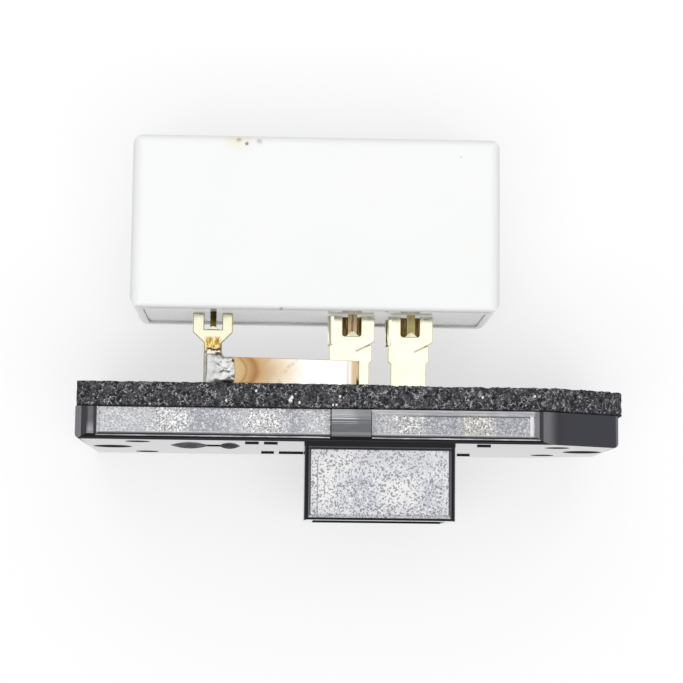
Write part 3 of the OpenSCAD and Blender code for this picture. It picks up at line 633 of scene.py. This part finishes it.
def fuse_brass():
    """Fuse terminal: plated prongs, golden streaks and a dark band under the slot that are painted
    highlights and shade of a bend, and a solder-wetted grey shank.
    """
    skin = Shader("fuse_brass", Metallic=1.0)
    base, lines = brass_faces(skin)
    base = skin.mix(0.4, base, (0.7, 0.66, 0.46))
    x = skin.wavy("X", 1.6, 0.3)
    z = skin.wavy("Z", 1.5, 0.4)
    streak = skin.noise(1.9, 4.0, 0.65, stretch=(1.3, 1, 0.35))
    gold = skin.ramp(streak, [
        (0.36, (0.2, 0.11, 0.02)), (0.45, (0.42, 0.27, 0.05)),
        (0.54, (0.78, 0.6, 0.2)), (0.64, (0.88, 0.84, 0.58)),
    ])
    # painted highlights of the bend: golden streaks
    bend_sheen = skin.both(skin.slab(z, 11.7, 13.8, 0.4), skin.slab(x, -26.0, -23.3, 0.3))
    base = skin.mix(bend_sheen, base, gold)
    # painted shade of the bend: a dark band below it
    bend_shade = skin.both(skin.slab(z, 11.4, 11.85, 0.12), skin.slab(x, -25.8, -23.1, 0.25))
    ring = skin.both(skin.slab(z, 10.5, 11.1, 0.14), skin.slab(x, -24.1, -23.0, 0.2))
    edge = skin.both(skin.slab(x, -23.35, -22.6, 0.14), skin.slab("Z", 10.8, 12.8, 0.3))
    base = skin.mix(skin.either(bend_shade, ring, edge), base, (0.1, 0.06, 0.025))
    bead = skin.both(skin.slab(z, 10.95, 11.4, 0.1), skin.slab(x, -25.3, -24.1, 0.15))
    base = skin.mix(bead, base, (0.82, 0.68, 0.6))
    cloud = skin.span(skin.noise(1.6, 5.0, 0.6), 0.35, 0.65)
    grey = skin.mix(cloud, (0.22, 0.22, 0.21), (0.38, 0.38, 0.37))
    base = skin.mix(skin.span(z, 10.9, 10.4), base, grey)
    strip = skin.both(skin.span("X", -25.5, -25.7), skin.span(z, 11.8, 11.3))
    base = skin.mix(strip, base, grey)
    skin.set(Base_Color=painted_dark_edges(skin, base), Roughness=skin.uneven(0.14, 0.24, 1.2, 5.0, 0.6))
    skin.set(Normal=skin.bump(skin.both(streak, bend_sheen), 0.8, 0.16, skin.bump(lines, 0.12, 0.02)))
    return skin.mat


def heat_tinted_copper():
    """Fuse spring: tan and brown rings near the solder, fading to bright metal along the strip."""
    skin = Shader("heat_tinted_copper", Metallic=1.0)
    rise = skin.math("SUBTRACT", skin.axis("Z"), 7.6)
    bow = skin.both(rise, rise, 0.2)
    x = skin.math("ADD", skin.wavy("X", 0.45, 0.4, stretch=(1, 1, 0.7)), bow)
    base = skin.ramp(skin.span(x, -22.0, 0.0, 0, 1, smooth=False), [
        (0.08, (0.6, 0.43, 0.23)), (0.13, (0.58, 0.4, 0.21)), (0.152, (0.4, 0.25, 0.1)),
        (0.175, (0.53, 0.33, 0.155)), (0.24, (0.35, 0.18, 0.075)), (0.275, (0.55, 0.35, 0.165)),
        (0.35, (0.6, 0.45, 0.28)), (0.44, (0.73, 0.6, 0.43)), (0.55, (0.86, 0.78, 0.65)),
        (0.66, (0.96, 0.95, 0.9)),
    ])
    lines = skin.noise(3.0, 4.0, 0.6, stretch=(0.1, 1, 2.0))
    base = skin.mix(skin.span(lines, 0.62, 0.8, 0, 0.15), base, (0.56, 0.42, 0.28))
    cloud = skin.span(skin.noise(0.5, 4.0, 0.6), 0.52, 0.62)
    cloud = skin.both(cloud, skin.slab("X", -16.0, -9.0, 1.5), 0.35)
    base = skin.mix(cloud, base, (0.5, 0.33, 0.2))
    fold = skin.slab("X", -0.48, -0.3, 0.05)
    base = skin.mix(skin.both(fold, 0.35), base, (0.5, 0.42, 0.3))
    base = skin.mix(skin.span("X", -0.25, 0.6), base, (0.62, 0.47, 0.29))
    base = skin.mix(skin.span("X", 1.3, 1.5), base, (0.6, 0.46, 0.29))
    brown = skin.both(skin.edge(0.14), skin.span("X", -4.0, -16.0, 0.25, 0.8))
    base = skin.mix(brown, base, (0.3, 0.15, 0.07))
    skin.set(Base_Color=base, Roughness=skin.uneven(0.16, 0.24, 0.8))
    skin.set(Normal=skin.bump(lines, 0.12, 0.02, skin.bump(skin.noise(0.22, 2.0), 0.1, 0.08)))
    return skin.mat


def edge_copper():
    """Cut edges of the spring strip."""
    skin = Shader("edge_copper", Metallic=1.0)
    tear = skin.noise(3.0, 4.0, 0.6)
    base = skin.mix(skin.span(tear, 0.35, 0.65), (0.34, 0.2, 0.1), (0.55, 0.38, 0.22))
    skin.set(Base_Color=base, Roughness=skin.span(tear, 0.3, 0.7, 0.3, 0.45))
    skin.set(Normal=skin.bump(tear, 0.3, 0.03))
    return skin.mat


def dull_solder():
    """Solder: pale dimpled skin with soft creases in painted shade, and dark brown along its borders."""
    skin = Shader("dull_solder", Metallic=0.75)
    dimples = skin.noise(0.9, 5.0, 0.6)
    base = skin.ramp(dimples, [
        (0.32, (0.58, 0.58, 0.57)), (0.46, (0.82, 0.82, 0.81)), (0.62, (0.93, 0.93, 0.92)),
    ])
    crease = skin.cells(0.9, feature="DISTANCE_TO_EDGE", place=skin.warped(1.4))
    # painted shade in the creases
    base = skin.mix(skin.span(crease, 0.05, 0.0, 0, 0.3), base, (0.34, 0.32, 0.3))
    x = skin.wavy("X", 1.3, 0.3)
    z = skin.wavy("Z", 1.3, 0.3)
    low = skin.both(skin.span(z, 6.2, 5.8), skin.slab(x, -22.8, -21.2, 0.2))
    right = skin.both(skin.span(x, -20.45, -20.2), skin.span(z, 10.2, 9.4))
    cap = skin.both(skin.span(z, 10.2, 10.5), skin.slab(x, -24.2, -22.9, 0.2))
    base = skin.mix(skin.both(skin.either(low, right, cap), 0.85), base, (0.09, 0.06, 0.045))
    base = skin.mix(skin.spot(-20.95, 9.45, 0.26, 0.4), base, (0.16, 0.06, 0.03))
    base = skin.mix(skin.spot(-21.4, 9.72, 0.18, 0.4), base, (0.86, 0.85, 0.82))
    skin.set(Base_Color=base, Roughness=skin.span(dimples, 0.3, 0.7, 0.42, 0.26))
    skin.set(Normal=skin.bump(dimples, 0.2, 0.1, skin.bump(crease, 0.08, 0.04)))
    return skin.mat


def welded_lead(name, low, high, front_y, streak_at=None, top_shade=0.0):
    """Lead end: oxidised wire with streaks, pale where its nugget is welded to the floor of the slot."""
    skin = Shader(name, Metallic=1.0)
    streak = skin.noise(2.6, 4.0, 0.6, stretch=(1.1, 1, 0.12))
    base = skin.mix(skin.span(streak, 0.35, 0.62), low, high)
    if streak_at is not None:
        x = skin.wavy("X", 1.2, 0.2, stretch=(1, 1, 0.5))
        line = skin.slab(x, streak_at - 0.14, streak_at + 0.14, 0.1)
        base = skin.mix(skin.both(line, 0.85), base, tone(0.4, low))
    # painted shade: darker towards the top
    if top_shade:
        base = skin.mix(skin.span("Z", 16.2, 17.4, 0, top_shade), base, tone(0.4, low))
    cloud = skin.span(skin.noise(2.4, 4.0, 0.6), 0.4, 0.6)
    nugget = skin.mix(cloud, (0.7, 0.66, 0.46), (0.86, 0.85, 0.72))
    base = skin.mix(skin.span("Y", front_y + 0.1, front_y - 0.1), base, nugget)
    skin.set(Base_Color=base, Roughness=skin.uneven(0.3, 0.46, 1.5))
    skin.set(Normal=skin.bump(streak, 0.4, 0.05, skin.bump(skin.noise(1.6, 4.0), 0.4, 0.1)))
    return skin.mat


def plain_inner(name, low, high, metal, rough):
    """Pieces inside the block, seen only when it is taken apart."""
    skin = Shader(name, Metallic=metal)
    grain = skin.noise(1.4, 5.0, 0.6)
    skin.set(Base_Color=skin.mix(skin.span(grain, 0.3, 0.7), low, high))
    skin.set(Roughness=skin.span(grain, 0.3, 0.7, rough - 0.08, rough + 0.08))
    skin.set(Normal=skin.bump(grain, 0.3, 0.05))
    return skin.mat


# Nodes that keep their CAD mesh
SAME_PLACE = 1e-6  # metres within which two corners of a mesh are one
SHARP_ANGLE = math.radians(35)


def welded(piece):
    """Joins the corners that neighbouring faces of a CAD mesh share."""
    piece.modifiers.new("weld", "WELD").merge_threshold = SAME_PLACE


def dress(node, mats, pick=None, bevel=0.0, rim=-1):
    """Gives a CAD node its materials, one per group of faces, and breaks its sharp edges."""
    piece = nodes[node]
    piece.data.materials.clear()
    for mat in mats:
        piece.data.materials.append(mat)
    for face in piece.data.polygons:
        face.material_index = pick(face) if pick else 0
    if bevel:
        welded(piece)
        broken = piece.modifiers.new("bevel", "BEVEL")
        broken.width = bevel * MM
        broken.segments = 2
        broken.limit_method = "ANGLE"
        broken.angle_limit = SHARP_ANGLE
        broken.use_clamp_overlap = True
        broken.harden_normals = True
        broken.material = rim


# Shares of a face's normal along an axis
EXACT = 0.95  # the face looks exactly that way
SQUARE = 0.9  # it looks that way
MOSTLY = 0.7  # it looks more that way than any other
ROUGHLY = 0.6  # it looks roughly that way
LEANING = 0.5  # it leans that way
SLANTED = 0.3  # it is a rounded or slanted edge
TURNED = 0.1  # it is not quite square to the axis
ROUNDING = 0.01  # less than this is rounding of numbers

# Places on the folded forks in mm
FORK_FRONT_Y = -3.46  # front face of the front sheet
FLAP_FRONT_Y = FORK_FRONT_Y + 1.2  # the rear flap's front face lies behind this
FLAP_BACK_Y = -1.75  # and in front of this
FOLD_Y = FORK_FRONT_Y + 0.6  # the fold at the left starts here
FOLD_Z = 12.8  # and reaches down to here


def fork_faces(face):
    """0 rolled faces and the fold, 1 sheared edges, 2 the rear flap's face inside the slot."""
    normal = face.normal
    y, z = (face.center * PER_METRE).yz
    if normal.y < -MOSTLY and FLAP_FRONT_Y < y < FLAP_BACK_Y:
        return 2
    if abs(normal.y) > SLANTED or (normal.x < -ROUGHLY and y > FOLD_Y and z > FOLD_Z):
        return 0
    return 1


def sheet_faces(face):
    """0 rolled faces, 1 sheared edges of the fuse terminal."""
    return 0 if abs(face.normal.y) > MOSTLY else 1


def strip_faces(face):
    """0 rolled faces, 1 cut edges of the spring strip."""
    return 0 if abs(face.normal.z) < LEANING else 1


# Places in the plate's list of materials
POLISHED, PANEL, SOCKET, SATIN, DULL, UNDERSIDE, RIM, SLOPE, LIP, STEP = range(10)

# Reaches on the plate in mm. Depth is the distance from its long axis, to either side
HAIR = 0.02  # a face that lies back by more than this is recessed
STAKE_X = -19.5  # the stakes lie left of this
STAKE_DEPTH = 9  # and within this depth
END_ROUND = 1.2  # width of the rounded ends
RIGHT_FACE = 0.8  # reach of the right end's faces
SIDE_ROUND = 1.0  # depth of the long sides with their recesses
UNDERSIDE_Z = (-6.0, -5.0)
LOWER_EDGE_Z = (-5.65, -5.1)
FRAME_DEPTH = 7.45  # the floor of the socket's framed front lies just past this depth
WALL_DEPTH = 7  # within the thickness of the socket's long walls
WALL_X = (-7, 18)  # and of its short walls


def side_faces(normal, x, z, depth):
    """Faces of the long sides, seen from outside: recessed panels, rib, lip and end strips."""
    recessed = depth < SIDE_Y - HAIR
    if recessed and x < CUT_X and normal.z > LEANING:
        return SATIN if x < PANEL_X[0] else SLOPE
    if recessed and z > LIP_Z:
        if x < PANEL_X[0]:
            return SATIN
        if abs(normal.x) > SQUARE:
            return RIM
        if normal.x < -LEANING or normal.z < -LEANING:
            return STEP
        return PANEL
    if x < LEFT_END_X or (RIB_X[0] < x < RIB_X[1] and z > LIP_Z):
        return SATIN
    return LIP if z < LIP_Z else POLISHED


def socket_faces(normal, x, y, z, outward):
    """Faces below the plate: the socket's framed front, its other walls and its inside."""
    depth = abs(y)
    inward = normal.x if x < SOCKET_MID else -normal.x
    framed = y < 0 and FRAME_DEPTH < depth < SOCKET_FRONT - HAIR and z > MOUTH_Z
    if framed and outward > SLANTED and inward > -ROUNDING:
        return SATIN if abs(normal.x) > LEANING else SOCKET
    inside = depth <= WALL_DEPTH and WALL_X[0] <= x <= WALL_X[1]
    return RIM if inside else POLISHED


def plate_faces(face):
    """The plate's material for each of its faces."""
    normal = face.normal
    x, y, z = face.center * PER_METRE
    depth = abs(y)
    outward = normal.y if y > 0 else -normal.y
    near_end = x < PLATE_LO.x + END_ROUND or x > PLATE_HI.x - END_ROUND
    if z < SHROUD_Z and x < STAKE_X and depth < STAKE_DEPTH:
        return DULL
    if UNDERSIDE_Z[0] < z < UNDERSIDE_Z[1]:
        if normal.z < -SQUARE or (normal.z < -SLANTED and near_end):
            return UNDERSIDE
    if normal.z < -SQUARE and z < MOUTH_Z:
        return UNDERSIDE
    if z < SHROUD_Z:
        return socket_faces(normal, x, y, z, outward)
    if normal.x > ROUGHLY and x > PLATE_HI.x - RIGHT_FACE:
        return SATIN
    if normal.z < -TURNED and LOWER_EDGE_Z[0] < z < LOWER_EDGE_Z[1]:
        return LIP
    if depth > SIDE_Y - SIDE_ROUND and x < CUT_X and abs(normal.z) < EXACT:
        if outward > TURNED or abs(normal.x) > SQUARE or normal.z > LEANING:
            return side_faces(normal, x, z, depth)
    return POLISHED


def dress_all():
    """Every node that keeps its CAD mesh."""
    brass = plated_brass()
    edge_brass = cut_brass()
    dress("base_plate", [
        polished_plastic(), panel_plastic(), socket_plastic(), satin_plastic(), dull_plastic(),
        underside_plastic(), rim_plastic(), slope_plastic(), lip_plastic(), step_plastic(),
    ], plate_faces, 0.12, RIM)
    dress("ceramic_case", [glazed_ceramic()])
    dress("cement_fill", [pale_cement()])
    scorched = scorched_brass()
    for name in ("middle_terminal", "right_terminal"):
        dress(name, [brass, edge_brass, scorched], fork_faces, 0.14, 1)
    dress("fuse_terminal", [fuse_brass(), edge_brass], sheet_faces, 0.14, 1)
    dress("fuse_pin", [brass, edge_brass], bevel=0.08, rim=1)
    dress("fuse_spring", [heat_tinted_copper(), edge_copper()], strip_faces, 0.07, 1)
    # the left lead behind the shank: lead metal darkened as painted shade
    dark = welded_lead("shaded_lead_metal", (0.075, 0.045, 0.015), (0.16, 0.115, 0.042), -4.6, top_shade=0.7)
    tan = welded_lead("tan_lead_metal", (0.44, 0.32, 0.17), (0.6, 0.46, 0.26), -2.95, streak_at=0.47)
    pale = welded_lead("pale_lead_metal", (0.36, 0.3, 0.12), (0.5, 0.42, 0.19), -2.95)
    for name, mat in (("left_lead", dark), ("middle_lead", tan), ("right_lead", pale)):
        dress(name, [mat], bevel=0.08)
    dress("core_rod", [plain_inner("core_white", (0.7, 0.69, 0.64), (0.8, 0.79, 0.75), 0.0, 0.6)])
    wire = plain_inner("winding_wire", (0.3, 0.28, 0.25), (0.5, 0.48, 0.45), 1.0, 0.4)
    for name in ("long_winding", "short_winding"):
        dress(name, [wire])
    steel = plain_inner("band_steel", (0.45, 0.45, 0.46), (0.65, 0.65, 0.66), 1.0, 0.38)
    for name in ("left_band", "middle_band", "right_band"):
        dress(name, [steel])


dress_all()


# Foam gasket
def new_piece(name, mesh, mat, replaced):
    """An object that rides on the product and stands for a CAD node."""
    piece = bpy.data.objects.new(name, mesh)
    bpy.context.scene.collection.objects.link(piece)
    mesh.materials.clear()
    mesh.materials.append(mat)
    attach(piece, "root")
    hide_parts(replaced)
    return piece


def remeshed(node, voxel_mm):
    """A copy of a CAD node's mesh in even small quads."""
    piece = bpy.data.objects.new("source", nodes[node].data.copy())
    bpy.context.scene.collection.objects.link(piece)
    welded(piece)
    even = piece.modifiers.new("remesh", "REMESH")
    even.mode = "VOXEL"
    even.voxel_size = voxel_mm * MM
    graph = bpy.context.evaluated_depsgraph_get()
    mesh = bpy.data.meshes.new_from_object(piece.evaluated_get(graph))
    bpy.data.objects.remove(piece)
    return mesh


def held(value, low, high):
    """The value, or the limit that it is past."""
    return min(max(value, low), high)


GAP = 0.02  # mm kept free between a built piece and what it lies on

# The foam's skin in mm, but for the scales of its noises
FOAM_VOXEL = 0.31
FOAM_SWELL = 0.08
CELL_SCALE = 0.95
PIT_REACH = 0.45  # a pit opens this near a cell's middle, in cells
PIT_DEPTH = 0.42
WEB, WEB_SCALE = 0.18, 1.6  # the webs between cells
WAVE, WAVE_SCALE = 0.08, 0.12  # slow waves of the whole skin
WAVE_SHIFT = Vector((3.1, 0, 0))
FOAM_DROP = 0.22  # the foam is this much thinner over the right half of the plate
DROP_X, DROP_WIDTH = 2.0, 8.0  # it gets thinner from here, over this width
RAGGED, RAGGED_SCALE = 0.3, 0.7  # dents of the upper cut
SAG, SAG_WIDTH = 0.3, 0.8  # at the plate's right end it hangs down by this, over this width
SAG_X = PLATE_HI.x - 0.2


def foam_piece():
    """Open-cell foam: the gasket's solid with cells opened in its skin and an uneven cut."""
    mesh = remeshed("foam_gasket", FOAM_VOXEL)
    lo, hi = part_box("foam_gasket")
    normals = [vertex.normal.copy() for vertex in mesh.vertices]
    for vertex, normal in zip(mesh.vertices, normals):
        place = vertex.co * PER_METRE
        pit = max(0.0, PIT_REACH - noise.voronoi(place * CELL_SCALE)[0][0]) / PIT_REACH
        web = noise.noise(place * WEB_SCALE)
        wave = noise.noise(place * WAVE_SCALE + WAVE_SHIFT)
        vertex.co += normal * (FOAM_SWELL - PIT_DEPTH * pit + WEB * web + WAVE * wave) * MM
        share = vertex.co.z / hi.z
        thin = held((place.x - DROP_X) / DROP_WIDTH, 0.0, 1.0)
        ragged = max(0.0, noise.noise(place * RAGGED_SCALE)) * RAGGED
        vertex.co.z -= share * (FOAM_DROP * thin + ragged) * MM
        past_end = (vertex.co.x - SAG_X * MM) / (SAG_WIDTH * MM)
        if past_end > 0:
            vertex.co.z -= SAG * MM * min(past_end, 1.0) * (1 - share)
        vertex.co.x = held(vertex.co.x, lo.x, hi.x)
        vertex.co.y = held(vertex.co.y, lo.y, hi.y)
        vertex.co.z = held(vertex.co.z, lo.z + GAP * MM, hi.z)
    for face in mesh.polygons:
        face.use_smooth = True
    piece = new_piece("foam_gasket_skin", mesh, open_foam(), "foam_gasket")


foam_piece()


# Solder
# Outline of the lump against the shank: x, z in mm
SOLDER_OUTLINE = [
    (-25.66, 5.2), (-25.7, 7.6), (-25.72, 9.6), (-25.6, 10.72), (-24.6, 10.85), (-23.35, 10.8),
    (-22.75, 10.3), (-22.0, 10.32), (-21.1, 10.3), (-20.65, 9.9), (-20.4, 8.6), (-20.35, 7.3),
    (-20.5, 6.2), (-20.8, 5.4), (-23.2, 5.1),
]
SOLDER_MIDDLE = Vector((-22.7, 7.8))
SOLDER_RINGS = 16
POINTS_PER_SIDE = 8
THIN = 0.42  # height of the lump at the left
EXTRA = 1.2  # what it gains towards the spring's end
EXTRA_X, EXTRA_WIDTH = -25.4, 2.6  # it gains height from here, over this width
DOME, EXTRA_DOME = 2.6, 5.4  # how boxy it is at the left, and what that gains
RUCK, FINE_RUCK = 0.1, 0.07  # shares of its height


def smooth_loop(points, per_side):
    """Closed Catmull-Rom curve through the points."""
    curve = []
    count = len(points)
    for i in range(count):
        p0, p1, p2, p3 = (Vector(points[(i + k - 1) % count]) for k in range(4))
        for k in range(per_side):
            t = k / per_side
            curve.append(0.5 * (2 * p1 + (p2 - p0) * t + (2 * p0 - 5 * p1 + 4 * p2 - p3) * t * t
                                + (3 * p1 - p0 - 3 * p2 + p3) * t ** 3))
    return curve


def solder_piece():
    """The lump: thin where it wets the shank, full round the end of the spring, with a dimpled skin."""
    lo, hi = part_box("solder_joint")
    front, back = lo.y * PER_METRE, hi.y * PER_METRE
    outline = smooth_loop(SOLDER_OUTLINE, POINTS_PER_SIDE)
    verts, faces = [], []
    for ring in range(SOLDER_RINGS + 1):
        share = ring / SOLDER_RINGS
        for corner in outline:
            x, z = SOLDER_MIDDLE + (corner - SOLDER_MIDDLE) * share
            full = held((x - EXTRA_X) / EXTRA_WIDTH, 0.0, 1.0)
            full = full * full * (3 - 2 * full)
            dome = max(0.0, 1 - share ** (DOME + EXTRA_DOME * full)) ** 0.5
            high = (THIN + EXTRA * full) * dome
            ruck = noise.noise(Vector((x * 0.9, z * 0.9, 4.0))) * RUCK
            ruck += noise.noise(Vector((x, z, 9.0)) * 2.3) * FINE_RUCK
            y = back - GAP - high * (1 + ruck)
            verts.append(Vector((x, max(y, front), z)) * MM)
    count = len(outline)
    for ring in range(SOLDER_RINGS):
        inner, outer = ring * count, (ring + 1) * count
        for i in range(count):
            j = (i + 1) % count
            faces.append((inner + i, inner + j, outer + j, outer + i))
    faces.append(tuple(SOLDER_RINGS * count + i for i in range(count)))
    mesh = bpy.data.meshes.new("solder_lump")
    mesh.from_pydata(verts, [], faces)
    mesh.validate()
    for face in mesh.polygons:
        face.use_smooth = len(face.vertices) < count  # all but the flat top
    new_piece("solder_lump", mesh, dull_solder(), "solder_joint")


solder_piece()


# Stage, lights and camera, in metres
WHITE_SHARE = 0.6  # of the paper's brightness that the camera sees whatever falls on it
PAPER_GAP = 0.0002
PAPER_WHITE = (0.965, 0.96, 0.98)
PAPER_REACH, PAPER_RISE = 0.9, 0.7
ROOM_WHITE, ROOM_STRENGTH = (0.97, 0.98, 1.0), 0.53


def clear_tree(owner):
    """The emptied node tree of a material or world."""
    owner.use_nodes = True
    owner.node_tree.nodes.clear()
    return owner.node_tree


def blended(tree, share, first, second):
    """A Mix Shader node fed with three outputs."""
    mix = tree.nodes.new("ShaderNodeMixShader")
    for socket, source in zip(mix.inputs, (share, first, second)):
        tree.links.new(source, socket)
    return mix.outputs[0]


def stage_material(name, shade):
    """Plain pale paper seen from its front only, so that it never hides the object from behind."""
    material = bpy.data.materials.new(name)
    tree = clear_tree(material)
    paper = tree.nodes.new("ShaderNodeBsdfDiffuse")
    paper.inputs["Color"].default_value = (*shade, 1)
    white = tree.nodes.new("ShaderNodeEmission")
    clear = tree.nodes.new("ShaderNodeBsdfTransparent")
    path = tree.nodes.new("ShaderNodeLightPath")
    share = tree.nodes.new("ShaderNodeMath")
    share.operation = "MULTIPLY"
    share.inputs[1].default_value = WHITE_SHARE
    tree.links.new(path.outputs["Is Camera Ray"], share.inputs[0])
    pale = blended(tree, share.outputs[0], paper.outputs[0], white.outputs[0])
    side = tree.nodes.new("ShaderNodeNewGeometry")
    seen = blended(tree, side.outputs["Backfacing"], pale, clear.outputs[0])
    out = tree.nodes.new("ShaderNodeOutputMaterial")
    tree.links.new(seen, out.inputs["Surface"])
    return material


def stage_plane(name, corners, material):
    """A sheet of paper that sends no light or shadow to the object."""
    mesh = bpy.data.meshes.new(name)
    mesh.from_pydata([Vector(corner) for corner in corners], [], [(0, 1, 2, 3)])
    mesh.materials.append(material)
    plane = bpy.data.objects.new(name, mesh)
    bpy.context.scene.collection.objects.link(plane)
    plane.visible_diffuse = False
    plane.visible_glossy = False
    plane.visible_shadow = False


def make_stage():
    """White paper behind and below the object, close to it."""
    paper = stage_material("white_paper", PAPER_WHITE)
    wide, rise = PAPER_REACH, PAPER_RISE
    behind = cad_hi.y + PAPER_GAP
    floor = cad_lo.z - PAPER_GAP
    wall = [(-wide, behind, -rise), (wide, behind, -rise), (wide, behind, rise), (-wide, behind, rise)]
    ground = [(-wide, -wide, floor), (wide, -wide, floor), (wide, wide, floor), (-wide, wide, floor)]
    stage_plane("paper_behind", wall, paper)
    stage_plane("paper_below", ground, paper)


def area_light(name, place, size, watts, aim=(0, 0, 0.01)):
    lamp = bpy.data.lights.new(name, "AREA")
    lamp.shape = "RECTANGLE"
    lamp.size, lamp.size_y = size
    lamp.energy = watts
    holder = bpy.data.objects.new(name, lamp)
    holder.location = Vector(place)
    holder.rotation_mode = "QUATERNION"
    holder.rotation_quaternion = (Vector(aim) - Vector(place)).to_track_quat("-Z", "Y")
    bpy.context.scene.collection.objects.link(holder)
    return holder


def make_lights():
    """Soft lamps from the front, above and below. Only the weak sheen shows in what mirrors."""
    key = area_light("key", (0.02, -0.8, 0.09), (0.9, 0.7), 0.55)
    top = area_light("top", (0, -0.5, 0.75), (1.0, 0.7), 1.6, aim=(0, 0, 0.02))
    fill = area_light("fill", (0, -0.75, -0.35), (1.0, 0.5), 3.7)
    for lamp in (key, fill, top):
        lamp.visible_glossy = False
    area_light("sheen", (0.02, -0.8, 0.12), (1.2, 0.5), 0.34)


def background(tree, colour, strength):
    shade = tree.nodes.new("ShaderNodeBackground")
    shade.inputs["Color"].default_value = (*colour, 1)
    shade.inputs["Strength"].default_value = strength
    return shade.outputs[0]


def make_world():
    """A pale room, white to the camera and in reflections and glass."""
    world = bpy.data.worlds.new("pale_room")
    bpy.context.scene.world = world
    tree = clear_tree(world)
    path = tree.nodes.new("ShaderNodeLightPath")
    share = path.outputs["Is Camera Ray"]
    for ray in ("Is Glossy Ray", "Is Transmission Ray"):
        either = tree.nodes.new("ShaderNodeMath")
        either.operation = "MAXIMUM"
        tree.links.new(share, either.inputs[0])
        tree.links.new(path.outputs[ray], either.inputs[1])
        share = either.outputs[0]
    room = background(tree, ROOM_WHITE, ROOM_STRENGTH)
    white = background(tree, (1, 1, 1), 1.0)
    out = tree.nodes.new("ShaderNodeOutputWorld")
    tree.links.new(blended(tree, share, room, white), out.inputs["Surface"])


# The photograph's camera, fitted to the object's edges
CAMERA_PLACE = Vector((-12.485, -360.64, -29.687)) * MM
CAMERA_YAW = math.radians(1.759)
CAMERA_PITCH = math.radians(6.901)
CAMERA_ROLL = math.radians(0.642)
CAMERA_LENS = 105.06
SENSOR_WIDTH = 36


def make_camera():
    """Looks along +Y, turned by the yaw, raised by the pitch and tilted by the roll."""
    level = math.cos(CAMERA_PITCH)
    ahead = Vector((math.sin(CAMERA_YAW) * level, math.cos(CAMERA_YAW) * level, math.sin(CAMERA_PITCH)))
    right = Vector((math.cos(CAMERA_YAW), -math.sin(CAMERA_YAW), 0))
    up = right.cross(ahead)
    right_rolled = right * math.cos(CAMERA_ROLL) + up * math.sin(CAMERA_ROLL)
    up_rolled = -right * math.sin(CAMERA_ROLL) + up * math.cos(CAMERA_ROLL)
    eye = bpy.data.cameras.new("camera")
    eye.sensor_width = SENSOR_WIDTH
    eye.lens = CAMERA_LENS
    eye.clip_start = 0.01
    eye.clip_end = 10
    camera = bpy.data.objects.new("camera", eye)
    turn = Matrix((right_rolled, up_rolled, -ahead)).transposed().to_4x4()
    turn.translation = CAMERA_PLACE
    camera.matrix_world = turn
    bpy.context.scene.collection.objects.link(camera)
    bpy.context.scene.camera = camera


make_stage()
make_lights()
make_world()
make_camera()
bpy.context.scene.view_settings.view_transform = "Standard"
